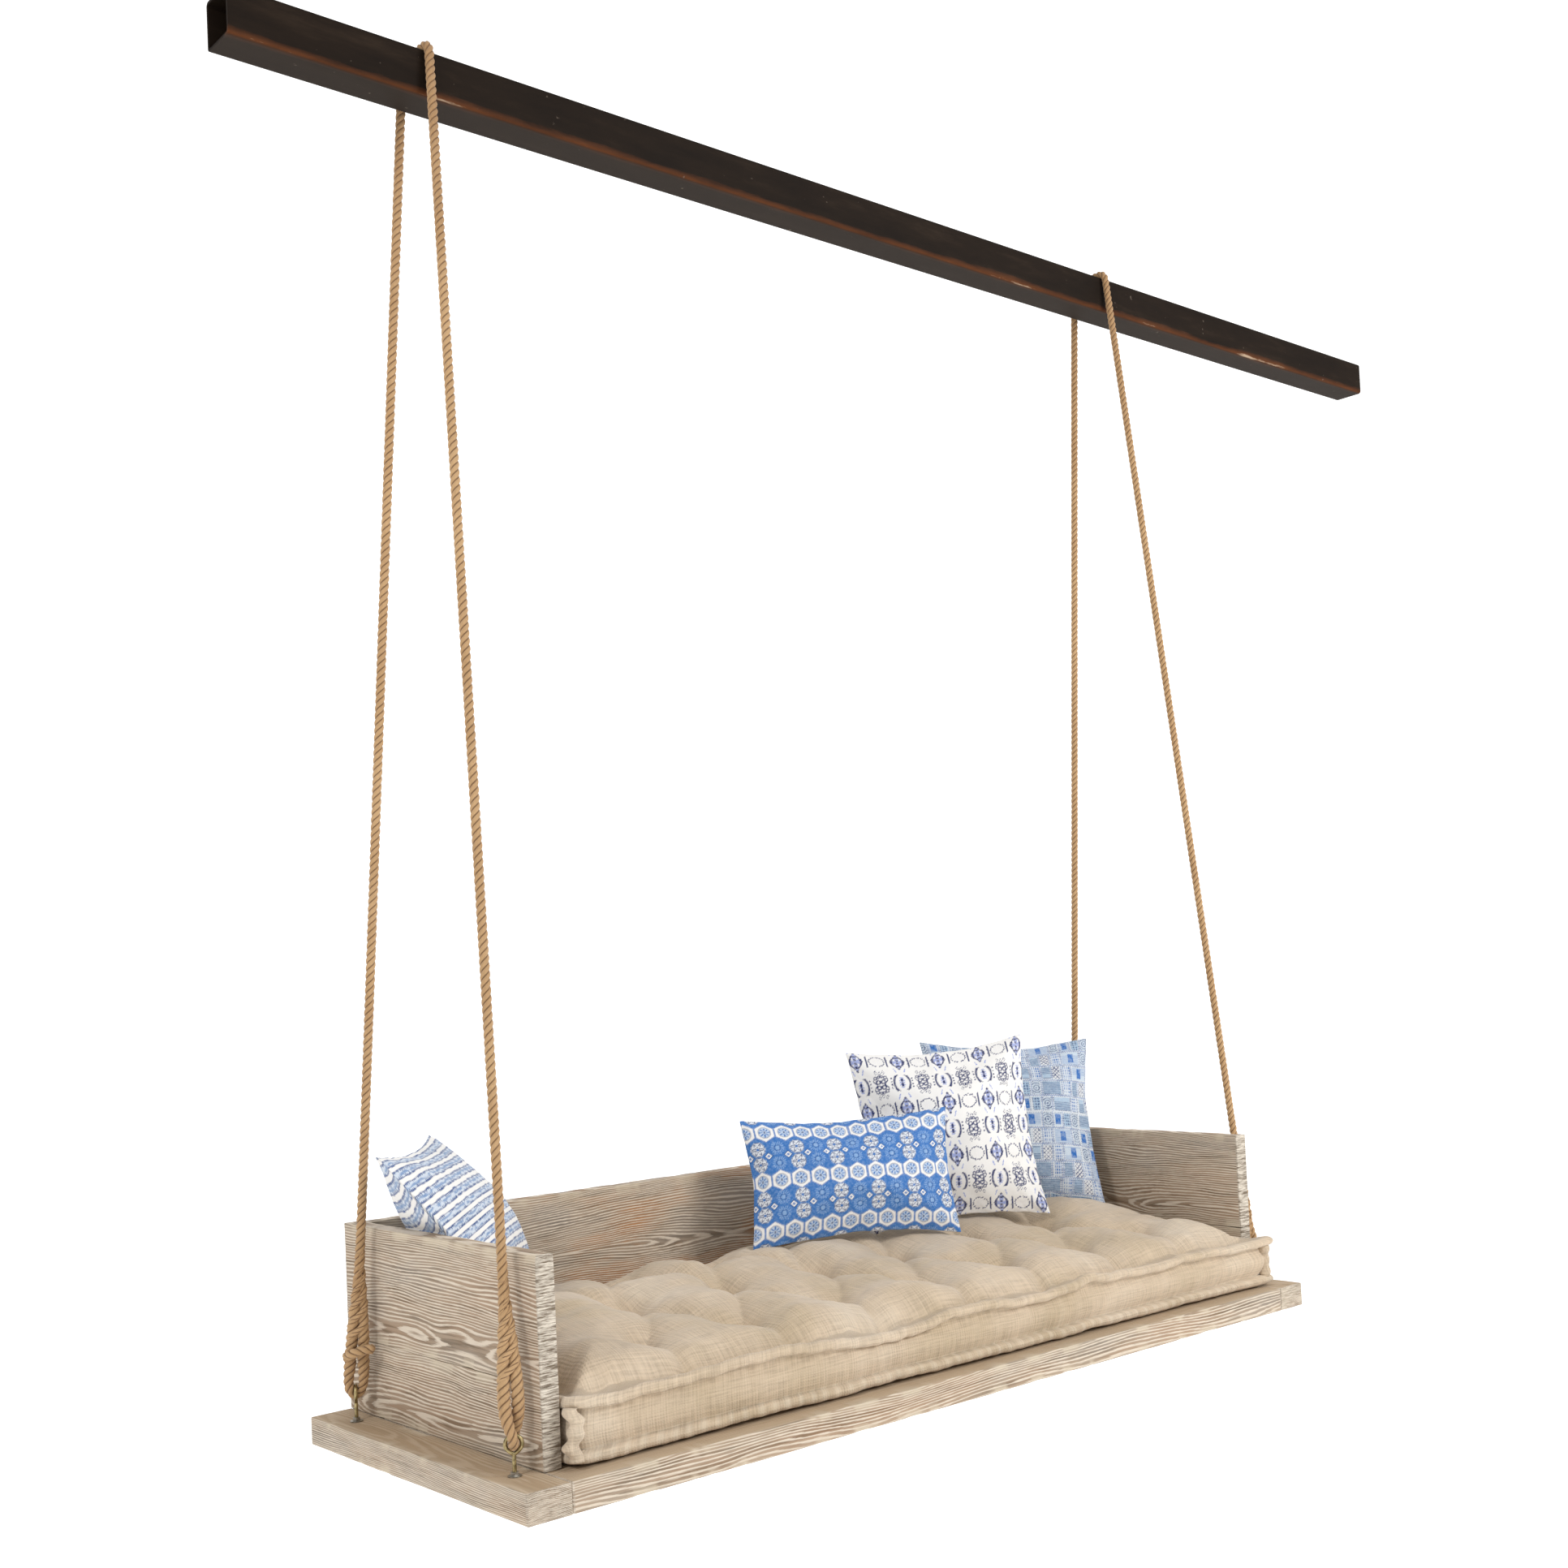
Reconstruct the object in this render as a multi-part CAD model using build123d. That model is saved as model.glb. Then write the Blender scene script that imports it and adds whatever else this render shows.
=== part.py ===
"""Hanging daybed swing: an oak platform with a low surround, hung by two ropes from a steel beam.

Millimetres. The origin is the centre line of the beam, midway between the ropes. +X runs along the
beam to the right of a person facing the seat from the front, +Y to the back and +Z up.
"""

import math
import os

from build123d import *

# Beam: 3.5 in square tube, longer on the right than on the left.
BEAM_SIDE = 88.9
BEAM_WALL = 5.0
BEAM_CORNER = 8.0
BEAM_LEFT = -1319.0
BEAM_RIGHT = 2120.0

# Deck: six long boards between two end rails.
DECK_TOP = -2522.0
DECK_LENGTH = 2134.0
DECK_DEPTH = 813.0
DECK_THICK = 54.0
RAIL_WIDTH = 85.0
BOARD_COUNT = 6
TONGUE_THICK = 18.0
TONGUE_LENGTH = 30.0
GROOVE_STOP = 40.0
SPLINE_THICK = 6.0
SPLINE_WIDTH = 20.0
SPLINE_STOP = 42.0
PEG_RADIUS = 4.0
PEG_LENGTH = 44.0

# Surround: a lower and an upper plank in each side.
PANEL_THICK = 35.0
PANEL_HEIGHT = 365.0
LOWER_PLANK = 142.0
PANEL_INSET = 82.5
PANEL_FRONT = 83.0
DOWEL_RADIUS = 4.0
DOWEL_LENGTH = 50.0
SCREW_RADIUS = 2.5
SCREW_HEAD_RADIUS = 5.0
SCREW_HEAD = 4.0
SCREW_RECESS = 3.0
SCREW_LENGTH = 100.0

# Eye bolts: bent wire eyes in the four corners of the deck.
EYE_X = 1024.5
EYE_Y = 296.0
WIRE_RADIUS = 3.5
EYE_RADIUS = 14.0
EYE_CENTRE = 54.0
EYE_JOIN = 36.0
BOLT_HOLE = 4.0
WASHER_RADIUS = 12.0
WASHER_THICK = 1.6
NUT_FLATS = 13.0
NUT_THICK = 6.0
BOLT_TAIL = 12.0

# Rope: 18 mm three-strand rope, an eye splice at each end.
ROPE_RADIUS = 9.0
ROPE_TOP_X = 946.5
ROPE_GAP = 0.2
SPLICE_START = 78.0
SPLICE_END = 235.0
LEG_TOP = -66.0
BIGHT_END = -41.0

# Mattress, relative to the deck top, and its four loose pillows.
MATTRESS_HALF = 931.0
MATTRESS_FRONT = -345.0
MATTRESS_BACK = 354.0
MATTRESS_BOTTOM = 3.0
MATTRESS_EDGE = 112.0
MATTRESS_TOP = 172.0
CLOTH = 2.0
CLOTH_GAP = 0.3
ROLL_RADIUS = 8.0
ROLL_LEVELS = {"mattress_top_roll": 103.0, "mattress_bottom_roll": 13.0}
TUFT_ROWS = ((-205.0, 0.0), (10.0, 0.5), (225.0, 0.0))
TUFT_PITCH = 235.0
TUFT_RADIUS = 1.5
TUFT_END = 152.0

# name: centre, yaw, tilt, roll (degrees), width, height, thickness
PILLOWS = {
    "lumbar_pillow": ((105, 128, -2181), -24.0, 17.0, 0.4, 502, 302, 108),
    "ikat_pillow": ((447, 165, -2116), -30.2, 14.8, -2.5, 456, 456, 110),
    "patchwork_pillow": ((722, 213, -2123), -30.0, 20.4, 2.3, 455, 455, 112),
    "striped_pillow": ((-786, 182, -2171), 49.4, 40.0, 0.0, 440, 440, 110),
}

HALF_BEAM = BEAM_SIDE / 2
HALF_LENGTH = DECK_LENGTH / 2
HALF_DEPTH = DECK_DEPTH / 2
DECK_BOTTOM = DECK_TOP - DECK_THICK
BOARD_END = HALF_LENGTH - RAIL_WIDTH
BOARD_WIDTH = DECK_DEPTH / BOARD_COUNT
PANEL_OUTER = HALF_LENGTH - PANEL_INSET
PANEL_INNER = PANEL_OUTER - PANEL_THICK
PANEL_MID = (PANEL_OUTER + PANEL_INNER) / 2
PANEL_Y0 = -HALF_DEPTH + PANEL_FRONT
BACK_FACE = HALF_DEPTH - PANEL_THICK
BACK_MID = HALF_DEPTH - PANEL_THICK / 2
DOWEL_FIT = 0.05
SIDE_SCREW_Y = (-295.0, -70.0, 190.0, 340.0)
SIDE_DOWEL_Y = (-250.0, -80.0, 90.0, 260.0)
BACK_SCREW_X = [-840.0 + 280.0 * i for i in range(7)]
BACK_DOWEL_X = [-700.0 + 350.0 * i for i in range(5)]
CORNER_DOWEL_Z = (45.0, 95.0, 195.0, 315.0)
SIDES = {"left": -1, "right": 1}
ENDS = {"front": -1, "rear": 1}
# The eye of each bolt faces along this heading, in degrees from +X, on the left side.
EYE_HEADING = {"front": 60.6, "rear": -24.8}


def save(name, *solids):
    """One STEP file, a plain shape or a group of separate solids."""
    shape = solids[0] if len(solids) == 1 else Compound(children=list(solids))
    export_step(shape, f"parts/{name}.step")


def block(x0, x1, y0, y1, z0, z1):
    """An upright box between two corners."""
    middle = ((x0 + x1) / 2, (y0 + y1) / 2, (z0 + z1) / 2)
    return Pos(*middle) * Box(abs(x1 - x0), abs(y1 - y0), abs(z1 - z0))


def post(x, y, z0, z1, radius):
    """A vertical cylinder."""
    return Pos(x, y, (z0 + z1) / 2) * Cylinder(radius, z1 - z0)


def bar_x(x0, x1, y, z, radius):
    """A cylinder along X."""
    return Pos((x0 + x1) / 2, y, z) * Rot(0, 90, 0) * Cylinder(radius, abs(x1 - x0))


def rod(start, end, radius):
    """A cylinder between two points."""
    axis = end - start
    plane = Plane(origin=(start + end) * 0.5, z_dir=axis)
    return plane * Cylinder(radius, axis.length)


# ---------------------------------------------------------------- beam and ropes

def beam():
    """Square steel tube with rounded corners."""
    outer = fillet(Rectangle(BEAM_SIDE, BEAM_SIDE).vertices(), BEAM_CORNER)
    bore = BEAM_SIDE - 2 * BEAM_WALL
    inner = fillet(Rectangle(bore, bore).vertices(), BEAM_CORNER - BEAM_WALL)
    plane = Plane(origin=(BEAM_LEFT, 0, 0), x_dir=(0, 1, 0), z_dir=(1, 0, 0))
    return extrude(plane * (outer - inner), BEAM_RIGHT - BEAM_LEFT)


def turn_radius():
    """Radius of the rope's centre line over a corner of the tube."""
    return BEAM_CORNER + ROPE_RADIUS + ROPE_GAP


def rope_ends(side, end):
    """The rope point inside the bolt's eye, and where the leg leaves the top of the beam."""
    foot = Vector(side * EYE_X, end * EYE_Y, DECK_TOP + EYE_CENTRE)
    corner = HALF_BEAM - BEAM_CORNER
    lean = math.atan2(EYE_Y - corner - turn_radius(), corner - foot.Z)
    top = Vector(
        side * ROPE_TOP_X,
        end * (corner + turn_radius() * math.cos(lean)),
        corner + turn_radius() * math.sin(lean),
    )
    return foot, top


def along(foot, top, z):
    """The point of a rope leg at height z."""
    return foot + (top - foot) * ((z - foot.Z) / (top.Z - foot.Z))


def rope_bight(side):
    """The turn of rope over the beam, from below one face to below the other."""
    over = HALF_BEAM + ROPE_RADIUS + ROPE_GAP
    front = rope_ends(side, -1)
    rear = rope_ends(side, 1)
    points = [
        along(*front, BIGHT_END),
        along(*front, over),
        along(*rear, over),
        along(*rear, BIGHT_END),
    ]
    path = FilletPolyline(*points, radius=turn_radius())
    profile = Plane(origin=path @ 0, z_dir=path % 0) * Circle(ROPE_RADIUS)
    return sweep(profile, path=path)


def leg_frame(side, end):
    """Frame of a rope leg at the bolt: x along the eye's axis, z up the rope."""
    foot, top = rope_ends(side, end)
    heading = EYE_HEADING["front" if end < 0 else "rear"]
    angle = math.radians(heading if side < 0 else 180 - heading)
    up = (top - foot).normalized()
    through = Vector(math.cos(angle), math.sin(angle), 0)
    through = (through - up * through.dot(up)).normalized()
    return Plane(origin=foot, x_dir=through, z_dir=up)


def eye_splice(side, end):
    """The rope's end: a loop through the bolt's eye, spliced back into the rope above it."""
    half_foot, half_throat, bend = 28.0, ROPE_RADIUS + 0.3, 19.0
    top = SPLICE_START + 4.0
    path = FilletPolyline(
        (-half_throat, 0, top), (-half_foot, 0, 0), (half_foot, 0, 0), (half_throat, 0, top),
        radius=bend,
    )
    loop = sweep(Plane(origin=path @ 0, z_dir=path % 0) * Circle(ROPE_RADIUS), path=path)
    throat = Plane.XY.offset(SPLICE_START) * Ellipse(2 * ROPE_RADIUS + 0.5, ROPE_RADIUS + 1.5)
    neck = Plane.XY.offset(SPLICE_END) * Circle(ROPE_RADIUS)
    splice = loft([throat, neck])
    return leg_frame(side, end) * (loop + splice)


def rope_leg(side, end):
    """The taut run of rope from its splice to just under the beam."""
    foot, top = rope_ends(side, end)
    start = foot + (top - foot).normalized() * SPLICE_END
    return rod(start, along(foot, top, LEG_TOP), ROPE_RADIUS)


# ---------------------------------------------------------------- eye bolts

def eye_bolt(side, end):
    """A wire bent into a teardrop eye above a straight shank."""
    frame = leg_frame(side, end)
    heading = math.degrees(math.atan2(frame.x_dir.Y, frame.x_dir.X))
    reach = math.acos(EYE_RADIUS / (EYE_CENTRE - EYE_JOIN))
    lower = EYE_CENTRE - EYE_RADIUS * math.cos(reach)
    half_width = EYE_RADIUS * math.sin(reach)
    shank = Pos(0, 0, (EYE_JOIN - DECK_THICK - BOLT_TAIL) / 2)
    bolt = shank * Cylinder(WIRE_RADIUS, EYE_JOIN + DECK_THICK + BOLT_TAIL)
    for hand in (-1, 1):
        tangent = (0, hand * half_width, lower)
        half = (0, hand * EYE_RADIUS, EYE_CENTRE)
        arc = ThreePointArc((0, 0, EYE_CENTRE + EYE_RADIUS), half, tangent)
        path = arc + Line(tangent, (0, 0, EYE_JOIN))
        profile = Plane(origin=path @ 0, z_dir=path % 0) * Circle(WIRE_RADIUS)
        bolt += sweep(profile, path=path, transition=Transition.ROUND)
    bolt += Pos(0, 0, EYE_JOIN) * Sphere(WIRE_RADIUS)
    return Pos(side * EYE_X, end * EYE_Y, DECK_TOP) * Rot(0, 0, heading) * bolt


def washer(x, y, z):
    """A flat washer with its lower face at z."""
    ring = Cylinder(WASHER_RADIUS, WASHER_THICK) - Cylinder(BOLT_HOLE, WASHER_THICK)
    return Pos(x, y, z + WASHER_THICK / 2) * ring


def nut(x, y, z):
    """A hexagon nut with its lower face at z, a close fit on the shank."""
    flats = RegularPolygon(NUT_FLATS / 2, 6, major_radius=False)
    body = extrude(flats - Circle(WIRE_RADIUS + DOWEL_FIT), NUT_THICK)
    return Pos(x, y, z) * body


def corner_points():
    """The four eye bolt positions."""
    return [(side * EYE_X, end * EYE_Y) for side in (-1, 1) for end in (-1, 1)]


# ---------------------------------------------------------------- deck

def deck_screws():
    """Axis of every screw that comes up through the deck into the surround."""
    sides = [(hand * PANEL_MID, y) for hand in (-1, 1) for y in SIDE_SCREW_Y]
    return sides + [(x, BACK_MID) for x in BACK_SCREW_X]


def screw(x, y, fit=0.0):
    """A wood screw let into the underside of the deck, or with a fit, its hole."""
    head = DECK_BOTTOM + SCREW_RECESS
    tip = head + SCREW_LENGTH
    foot = DECK_BOTTOM if fit else head
    shank = post(x, y, head, tip + fit, SCREW_RADIUS + fit)
    return shank + post(x, y, foot, head + SCREW_HEAD, SCREW_HEAD_RADIUS + fit)


def peg_points():
    """Pegs through the end rails, one in each board's tongue."""
    rows = [-HALF_DEPTH + BOARD_WIDTH * (i + 0.5) for i in range(BOARD_COUNT)]
    inset = BOARD_END + TONGUE_LENGTH / 2
    return [(hand * inset, y) for hand in (-1, 1) for y in rows]


def peg(x, y, fit=0.0):
    """A blind peg driven from below, or its hole."""
    return post(x, y, DECK_BOTTOM, DECK_BOTTOM + PEG_LENGTH + fit, PEG_RADIUS + fit)


def spline_levels(fit=0.0):
    """Lower and upper face of the loose splines."""
    middle = (DECK_TOP + DECK_BOTTOM) / 2
    return middle - SPLINE_THICK / 2 - fit, middle + SPLINE_THICK / 2 + fit


def deck_spline(index, fit=0.0):
    """The loose spline between board index and the next one."""
    y = -HALF_DEPTH + BOARD_WIDTH * (index + 1)
    half = SPLINE_WIDTH / 2 + fit
    length = BOARD_END - SPLINE_STOP + fit
    return block(-length, length, y - half, y + half, *spline_levels(fit))


def tongue_levels():
    """Lower and upper face of the tongues."""
    middle = (DECK_TOP + DECK_BOTTOM) / 2
    return middle - TONGUE_THICK / 2, middle + TONGUE_THICK / 2


def deck_board(index):
    """A long board with a tongue at each end and spline grooves in its edges."""
    y0 = -HALF_DEPTH + BOARD_WIDTH * index
    y1 = y0 + BOARD_WIDTH
    board = block(-BOARD_END, BOARD_END, y0, y1, DECK_BOTTOM, DECK_TOP)
    reach = BOARD_END + TONGUE_LENGTH
    limit = HALF_DEPTH - GROOVE_STOP
    board += block(-reach, reach, max(y0, -limit), min(y1, limit), *tongue_levels())
    for joint in (index - 1, index):
        if 0 <= joint < BOARD_COUNT - 1:
            board -= deck_spline(joint, DOWEL_FIT)
    for point in peg_points():
        if y0 < point[1] < y1:
            board -= peg(*point, DOWEL_FIT)
    for point in deck_screws():
        if y0 < point[1] < y1:
            board -= screw(*point, DOWEL_FIT)
    return board


def end_rail(hand):
    """A rail across the boards' ends, grooved for their tongues."""
    rail = block(
        hand * BOARD_END, hand * HALF_LENGTH, -HALF_DEPTH, HALF_DEPTH, DECK_BOTTOM, DECK_TOP
    )
    limit = HALF_DEPTH - GROOVE_STOP
    rail -= block(
        hand * BOARD_END, hand * (BOARD_END + TONGUE_LENGTH), -limit, limit, *tongue_levels()
    )
    for x, y in peg_points():
        if x * hand > 0:
            rail -= peg(x, y, DOWEL_FIT)
    for x, y in corner_points():
        if x * hand > 0:
            rail -= post(x, y, DECK_BOTTOM, DECK_TOP, BOLT_HOLE)
    return rail


# ---------------------------------------------------------------- surround

def plank_dowels():
    """Upright dowels in the joint between the lower and the upper planks."""
    points = [(hand * PANEL_MID, y) for hand in (-1, 1) for y in SIDE_DOWEL_Y]
    return points + [(x, BACK_MID) for x in BACK_DOWEL_X]


def plank_dowel(x, y, fit=0.0):
    """One upright dowel, or its hole."""
    middle = DECK_TOP + LOWER_PLANK
    half = DOWEL_LENGTH / 2 + fit
    return post(x, y, middle - half, middle + half, DOWEL_RADIUS + fit)


def corner_dowel(hand, z, fit=0.0):
    """A dowel from a side panel into the end of the back panel, or its hole."""
    start = PANEL_OUTER - 15.0 + fit
    end = start - DOWEL_LENGTH - 2 * fit
    return bar_x(hand * start, hand * end, BACK_MID, DECK_TOP + z, DOWEL_RADIUS + fit)


def drilled(plank):
    """A plank with the holes for its dowels and screws."""
    for point in plank_dowels():
        plank -= plank_dowel(*point, DOWEL_FIT)
    for hand in (-1, 1):
        for z in CORNER_DOWEL_Z:
            plank -= corner_dowel(hand, z, DOWEL_FIT)
    for point in deck_screws():
        plank -= screw(*point, DOWEL_FIT)
    return plank


def plank_levels(level):
    """Lower and upper edge of a lower or an upper plank."""
    joint = DECK_TOP + LOWER_PLANK
    return (DECK_TOP, joint) if level == "lower" else (joint, DECK_TOP + PANEL_HEIGHT)


def side_plank(hand, level):
    """One plank of a side panel, which runs the full depth of the surround."""
    x0, x1 = hand * PANEL_INNER, hand * PANEL_OUTER
    return drilled(block(x0, x1, PANEL_Y0, HALF_DEPTH, *plank_levels(level)))


def back_plank(level):
    """One plank of the back panel, between the side panels."""
    return drilled(block(-PANEL_INNER, PANEL_INNER, BACK_FACE, HALF_DEPTH, *plank_levels(level)))


# ---------------------------------------------------------------- mattress

def mattress_solid(inset):
    """The mattress's crowned outline, moved in by inset on every side."""
    across = [
        (MATTRESS_FRONT, MATTRESS_BOTTOM), (MATTRESS_BACK, MATTRESS_BOTTOM),
        (MATTRESS_BACK, 150), (320, MATTRESS_TOP), (-110, MATTRESS_TOP),
        (-285, 148), (MATTRESS_FRONT, MATTRESS_EDGE),
    ]
    lengthwise = [
        (-MATTRESS_HALF, MATTRESS_BOTTOM), (MATTRESS_HALF, MATTRESS_BOTTOM),
        (MATTRESS_HALF, MATTRESS_EDGE), (870, 148), (760, MATTRESS_TOP),
        (-760, MATTRESS_TOP), (-870, 148), (-MATTRESS_HALF, MATTRESS_EDGE),
    ]
    depth = 2 * MATTRESS_HALF
    ends = Plane(origin=(-MATTRESS_HALF - 1, 0, DECK_TOP), x_dir=(0, 1, 0), z_dir=(1, 0, 0))
    front = Plane(origin=(0, MATTRESS_BACK + 1, DECK_TOP), x_dir=(1, 0, 0), z_dir=(0, -1, 0))
    shapes = []
    for plane, outline in ((ends, across), (front, lengthwise)):
        face = make_face(Polyline(*outline, close=True))
        if inset:
            face = offset(face, -inset, kind=Kind.INTERSECTION)
        shapes.append(extrude(plane * face, depth + 2))
    return shapes[0] & shapes[1]


def tuft_points():
    """Staggered rows of tufting ties."""
    points = []
    for y, shift in TUFT_ROWS:
        count = 7 if shift == 0 else 6
        first = -TUFT_PITCH * (count - 1) / 2
        points += [(first + TUFT_PITCH * i, y) for i in range(count)]
    return points


def tuft(x, y, fit=0.0):
    """One tie, or the hole that it makes through the mattress."""
    lower = MATTRESS_BOTTOM - 1 if fit else MATTRESS_BOTTOM + 1
    upper = MATTRESS_TOP + 1 if fit else TUFT_END
    return post(x, y, DECK_TOP + lower, DECK_TOP + upper, TUFT_RADIUS + fit)


def tufted(shape):
    """A shape with a hole for each tie."""
    holes = [tuft(*point, CLOTH_GAP) for point in tuft_points()]
    return shape - holes


def mattress_roll(level):
    """A rolled and stitched edge all round the mattress."""
    offset_out = ROLL_RADIUS + CLOTH_GAP
    half_x = MATTRESS_HALF + offset_out
    y0, y1 = MATTRESS_FRONT - offset_out, MATTRESS_BACK + offset_out
    # One half, from the middle of the front to the middle of the back, and its mirror image.
    path = FilletPolyline(
        (0, y0, DECK_TOP + level), (half_x, y0, DECK_TOP + level),
        (half_x, y1, DECK_TOP + level), (0, y1, DECK_TOP + level),
        radius=offset_out,
    )
    half = sweep(Plane(origin=path @ 0, z_dir=path % 0) * Circle(ROLL_RADIUS), path=path)
    return half + mirror(half, about=Plane.YZ)


# ---------------------------------------------------------------- pillows

def pillow_frame(centre, yaw, tilt, roll):
    """Frame of a pillow: x along its width, y up its height, z out of its face."""
    turn = Rot(0, 0, yaw) * Rot(-tilt, 0, 0) * Rot(0, roll, 0) * Rot(90, 0, 0)
    return Pos(*centre) * turn


def pillow_solid(width, height, thick, inset):
    """Plump rectangle: thin at the seam, thickest over its middle."""
    sections = ((-0.5, 0.42), (-0.33, 0.78), (0.0, 1.0), (0.33, 0.78), (0.5, 0.42))
    outlines = []
    for depth, share in sections:
        z = depth * (thick - 2 * inset)
        face = Rectangle(share * width - 2 * inset, share * height - 2 * inset)
        outlines.append(Pos(0, 0, z) * face)
    return loft(outlines, ruled=True)


def pillow_pieces(centre, yaw, tilt, roll, width, height, thick):
    """The sewn cover, as a closed shell, and the insert inside it."""
    frame = pillow_frame(centre, yaw, tilt, roll)
    sizes = (width, height, thick)
    cover = pillow_solid(*sizes, 0) - pillow_solid(*sizes, CLOTH)
    return frame * cover, frame * pillow_solid(*sizes, CLOTH + CLOTH_GAP)


# ---------------------------------------------------------------- all parts

def save_ropes_and_bolts():
    """The beam, both ropes and the four eye bolts with their nuts and washers."""
    save("beam", beam())
    for side_name, side in SIDES.items():
        save(f"rope_bight_{side_name}", rope_bight(side))
        for end_name, end in ENDS.items():
            corner = f"{end_name}_{side_name}"
            save(f"rope_leg_{corner}", rope_leg(side, end))
            save(f"eye_splice_{corner}", eye_splice(side, end))
            save(f"eye_bolt_{corner}", eye_bolt(side, end))
    points = corner_points()
    under = DECK_BOTTOM - WASHER_THICK
    save("top_washers", *[washer(x, y, DECK_TOP) for x, y in points])
    save("top_nuts", *[nut(x, y, DECK_TOP + WASHER_THICK) for x, y in points])
    save("bottom_washers", *[washer(x, y, under) for x, y in points])
    save("bottom_nuts", *[nut(x, y, under - NUT_THICK) for x, y in points])


def save_woodwork():
    """The deck, the surround and what holds them together."""
    for index in range(BOARD_COUNT):
        save(f"deck_board_{index + 1}", deck_board(index))
    save("deck_splines", *[deck_spline(i) for i in range(BOARD_COUNT - 1)])
    save("breadboard_pegs", *[peg(*point) for point in peg_points()])
    for name, hand in SIDES.items():
        save(f"end_rail_{name}", end_rail(hand))
        for level in ("lower", "upper"):
            save(f"side_panel_{name}_{level}", side_plank(hand, level))
    for level in ("lower", "upper"):
        save(f"back_panel_{level}", back_plank(level))
    save("plank_dowels", *[plank_dowel(*point) for point in plank_dowels()])
    corners = [corner_dowel(hand, z) for hand in (-1, 1) for z in CORNER_DOWEL_Z]
    save("corner_dowels", *corners)
    save("panel_screws", *[screw(*point) for point in deck_screws()])


def save_soft_goods():
    """The mattress with its rolled edges and ties, and the pillows."""
    inner = mattress_solid(CLOTH)
    save("mattress_cover", tufted(mattress_solid(0) - inner))
    save("mattress_filling", tufted(mattress_solid(CLOTH + CLOTH_GAP)))
    save("tufting_ties", *[tuft(*point) for point in tuft_points()])
    for name, level in ROLL_LEVELS.items():
        save(name, mattress_roll(level))
    for name, values in PILLOWS.items():
        cover, insert = pillow_pieces(*values)
        save(f"{name}_cover", cover)
        save(f"{name}_insert", insert)


def main():
    """Write every sub-part to its own STEP file."""
    os.makedirs("parts", exist_ok=True)
    save_ropes_and_bolts()
    save_woodwork()
    save_soft_goods()


main()
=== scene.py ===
"""Hanging daybed swing: laid rope, limed oak, mill-scale steel, a linen mattress and printed pillows.

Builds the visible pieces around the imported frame. Everything is in metres, in the frame's own axes:
the origin is on the beam's centre line, +X along the beam, +Y to the back of the seat, +Z up.
"""

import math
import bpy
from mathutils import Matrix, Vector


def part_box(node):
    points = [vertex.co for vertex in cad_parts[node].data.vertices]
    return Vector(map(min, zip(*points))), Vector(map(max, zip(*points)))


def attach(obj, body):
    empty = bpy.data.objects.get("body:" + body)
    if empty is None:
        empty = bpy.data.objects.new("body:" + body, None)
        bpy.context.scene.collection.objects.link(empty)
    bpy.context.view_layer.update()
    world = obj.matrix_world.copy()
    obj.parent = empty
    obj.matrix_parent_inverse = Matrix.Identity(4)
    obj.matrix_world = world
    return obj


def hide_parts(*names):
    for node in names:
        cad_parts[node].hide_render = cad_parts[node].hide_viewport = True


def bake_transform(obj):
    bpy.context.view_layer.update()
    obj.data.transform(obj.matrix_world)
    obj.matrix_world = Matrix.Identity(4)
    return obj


bl_info = {
    "name": "Hanging Daybed Swing",
    "version": (1, 0, 0),
    "blender": (4, 5, 0),
    "location": "View3D > Sidebar > Daybed",
    "description": "Builds a rope-hung oak daybed with its mattress and pillows",
    "category": "Add Mesh",
}

import bmesh
import bpy
import numpy as np
from bpy.props import FloatProperty, FloatVectorProperty, PointerProperty
from mathutils import Matrix, Vector

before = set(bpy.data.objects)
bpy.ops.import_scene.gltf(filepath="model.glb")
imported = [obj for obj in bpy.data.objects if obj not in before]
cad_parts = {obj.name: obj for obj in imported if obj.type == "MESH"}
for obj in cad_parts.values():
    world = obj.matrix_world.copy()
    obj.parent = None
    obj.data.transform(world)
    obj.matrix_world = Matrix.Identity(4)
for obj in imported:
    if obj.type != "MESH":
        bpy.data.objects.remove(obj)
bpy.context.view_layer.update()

DECK_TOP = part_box("end_rail_left")[1].z
SIDES = {"left": -1, "right": 1}
ENDS = {"front": -1, "rear": 1}


def linear(code):
    """A linear RGBA colour from an sRGB hex value."""
    channels = [int(code[i:i + 2], 16) / 255 for i in (1, 3, 5)]
    return tuple(c / 12.92 if c < 0.0405 else ((c + 0.055) / 1.055) ** 2.4 for c in channels) + (1.0,)


def length(name, default, description):
    """A size in metres that a user may change."""
    return FloatProperty(name=name, default=default, description=description, unit="LENGTH", precision=4)


def colour(name, code, description):
    """A colour that a user may change."""
    return FloatVectorProperty(
        name=name, default=linear(code), description=description, subtype="COLOR", size=4, min=0, max=1
    )


class DaybedSizes(bpy.types.PropertyGroup):
    """Sizes of the soft and worn parts."""

    rope_diameter: length("Rope diameter", 0.018, "Diameter over the strands")
    rope_lay: length("Rope lay", 0.0426, "Length of one full turn of a strand")
    edge_wear: length("Edge wear", 0.0028, "How far the oak's edges are rounded over")
    mattress_crown: length("Mattress crown", 0.072, "How far the mattress rises above its top roll")
    tuft_depth: length("Tuft depth", 0.040, "Depth of the dimple at each tufting tie")
    roll_radius: length("Roll radius", 0.0102, "Radius of the mattress's rolled edges")
    pillow_swell: length("Pillow swell", 0.135, "Thickness of the pillows at their middle")


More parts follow.
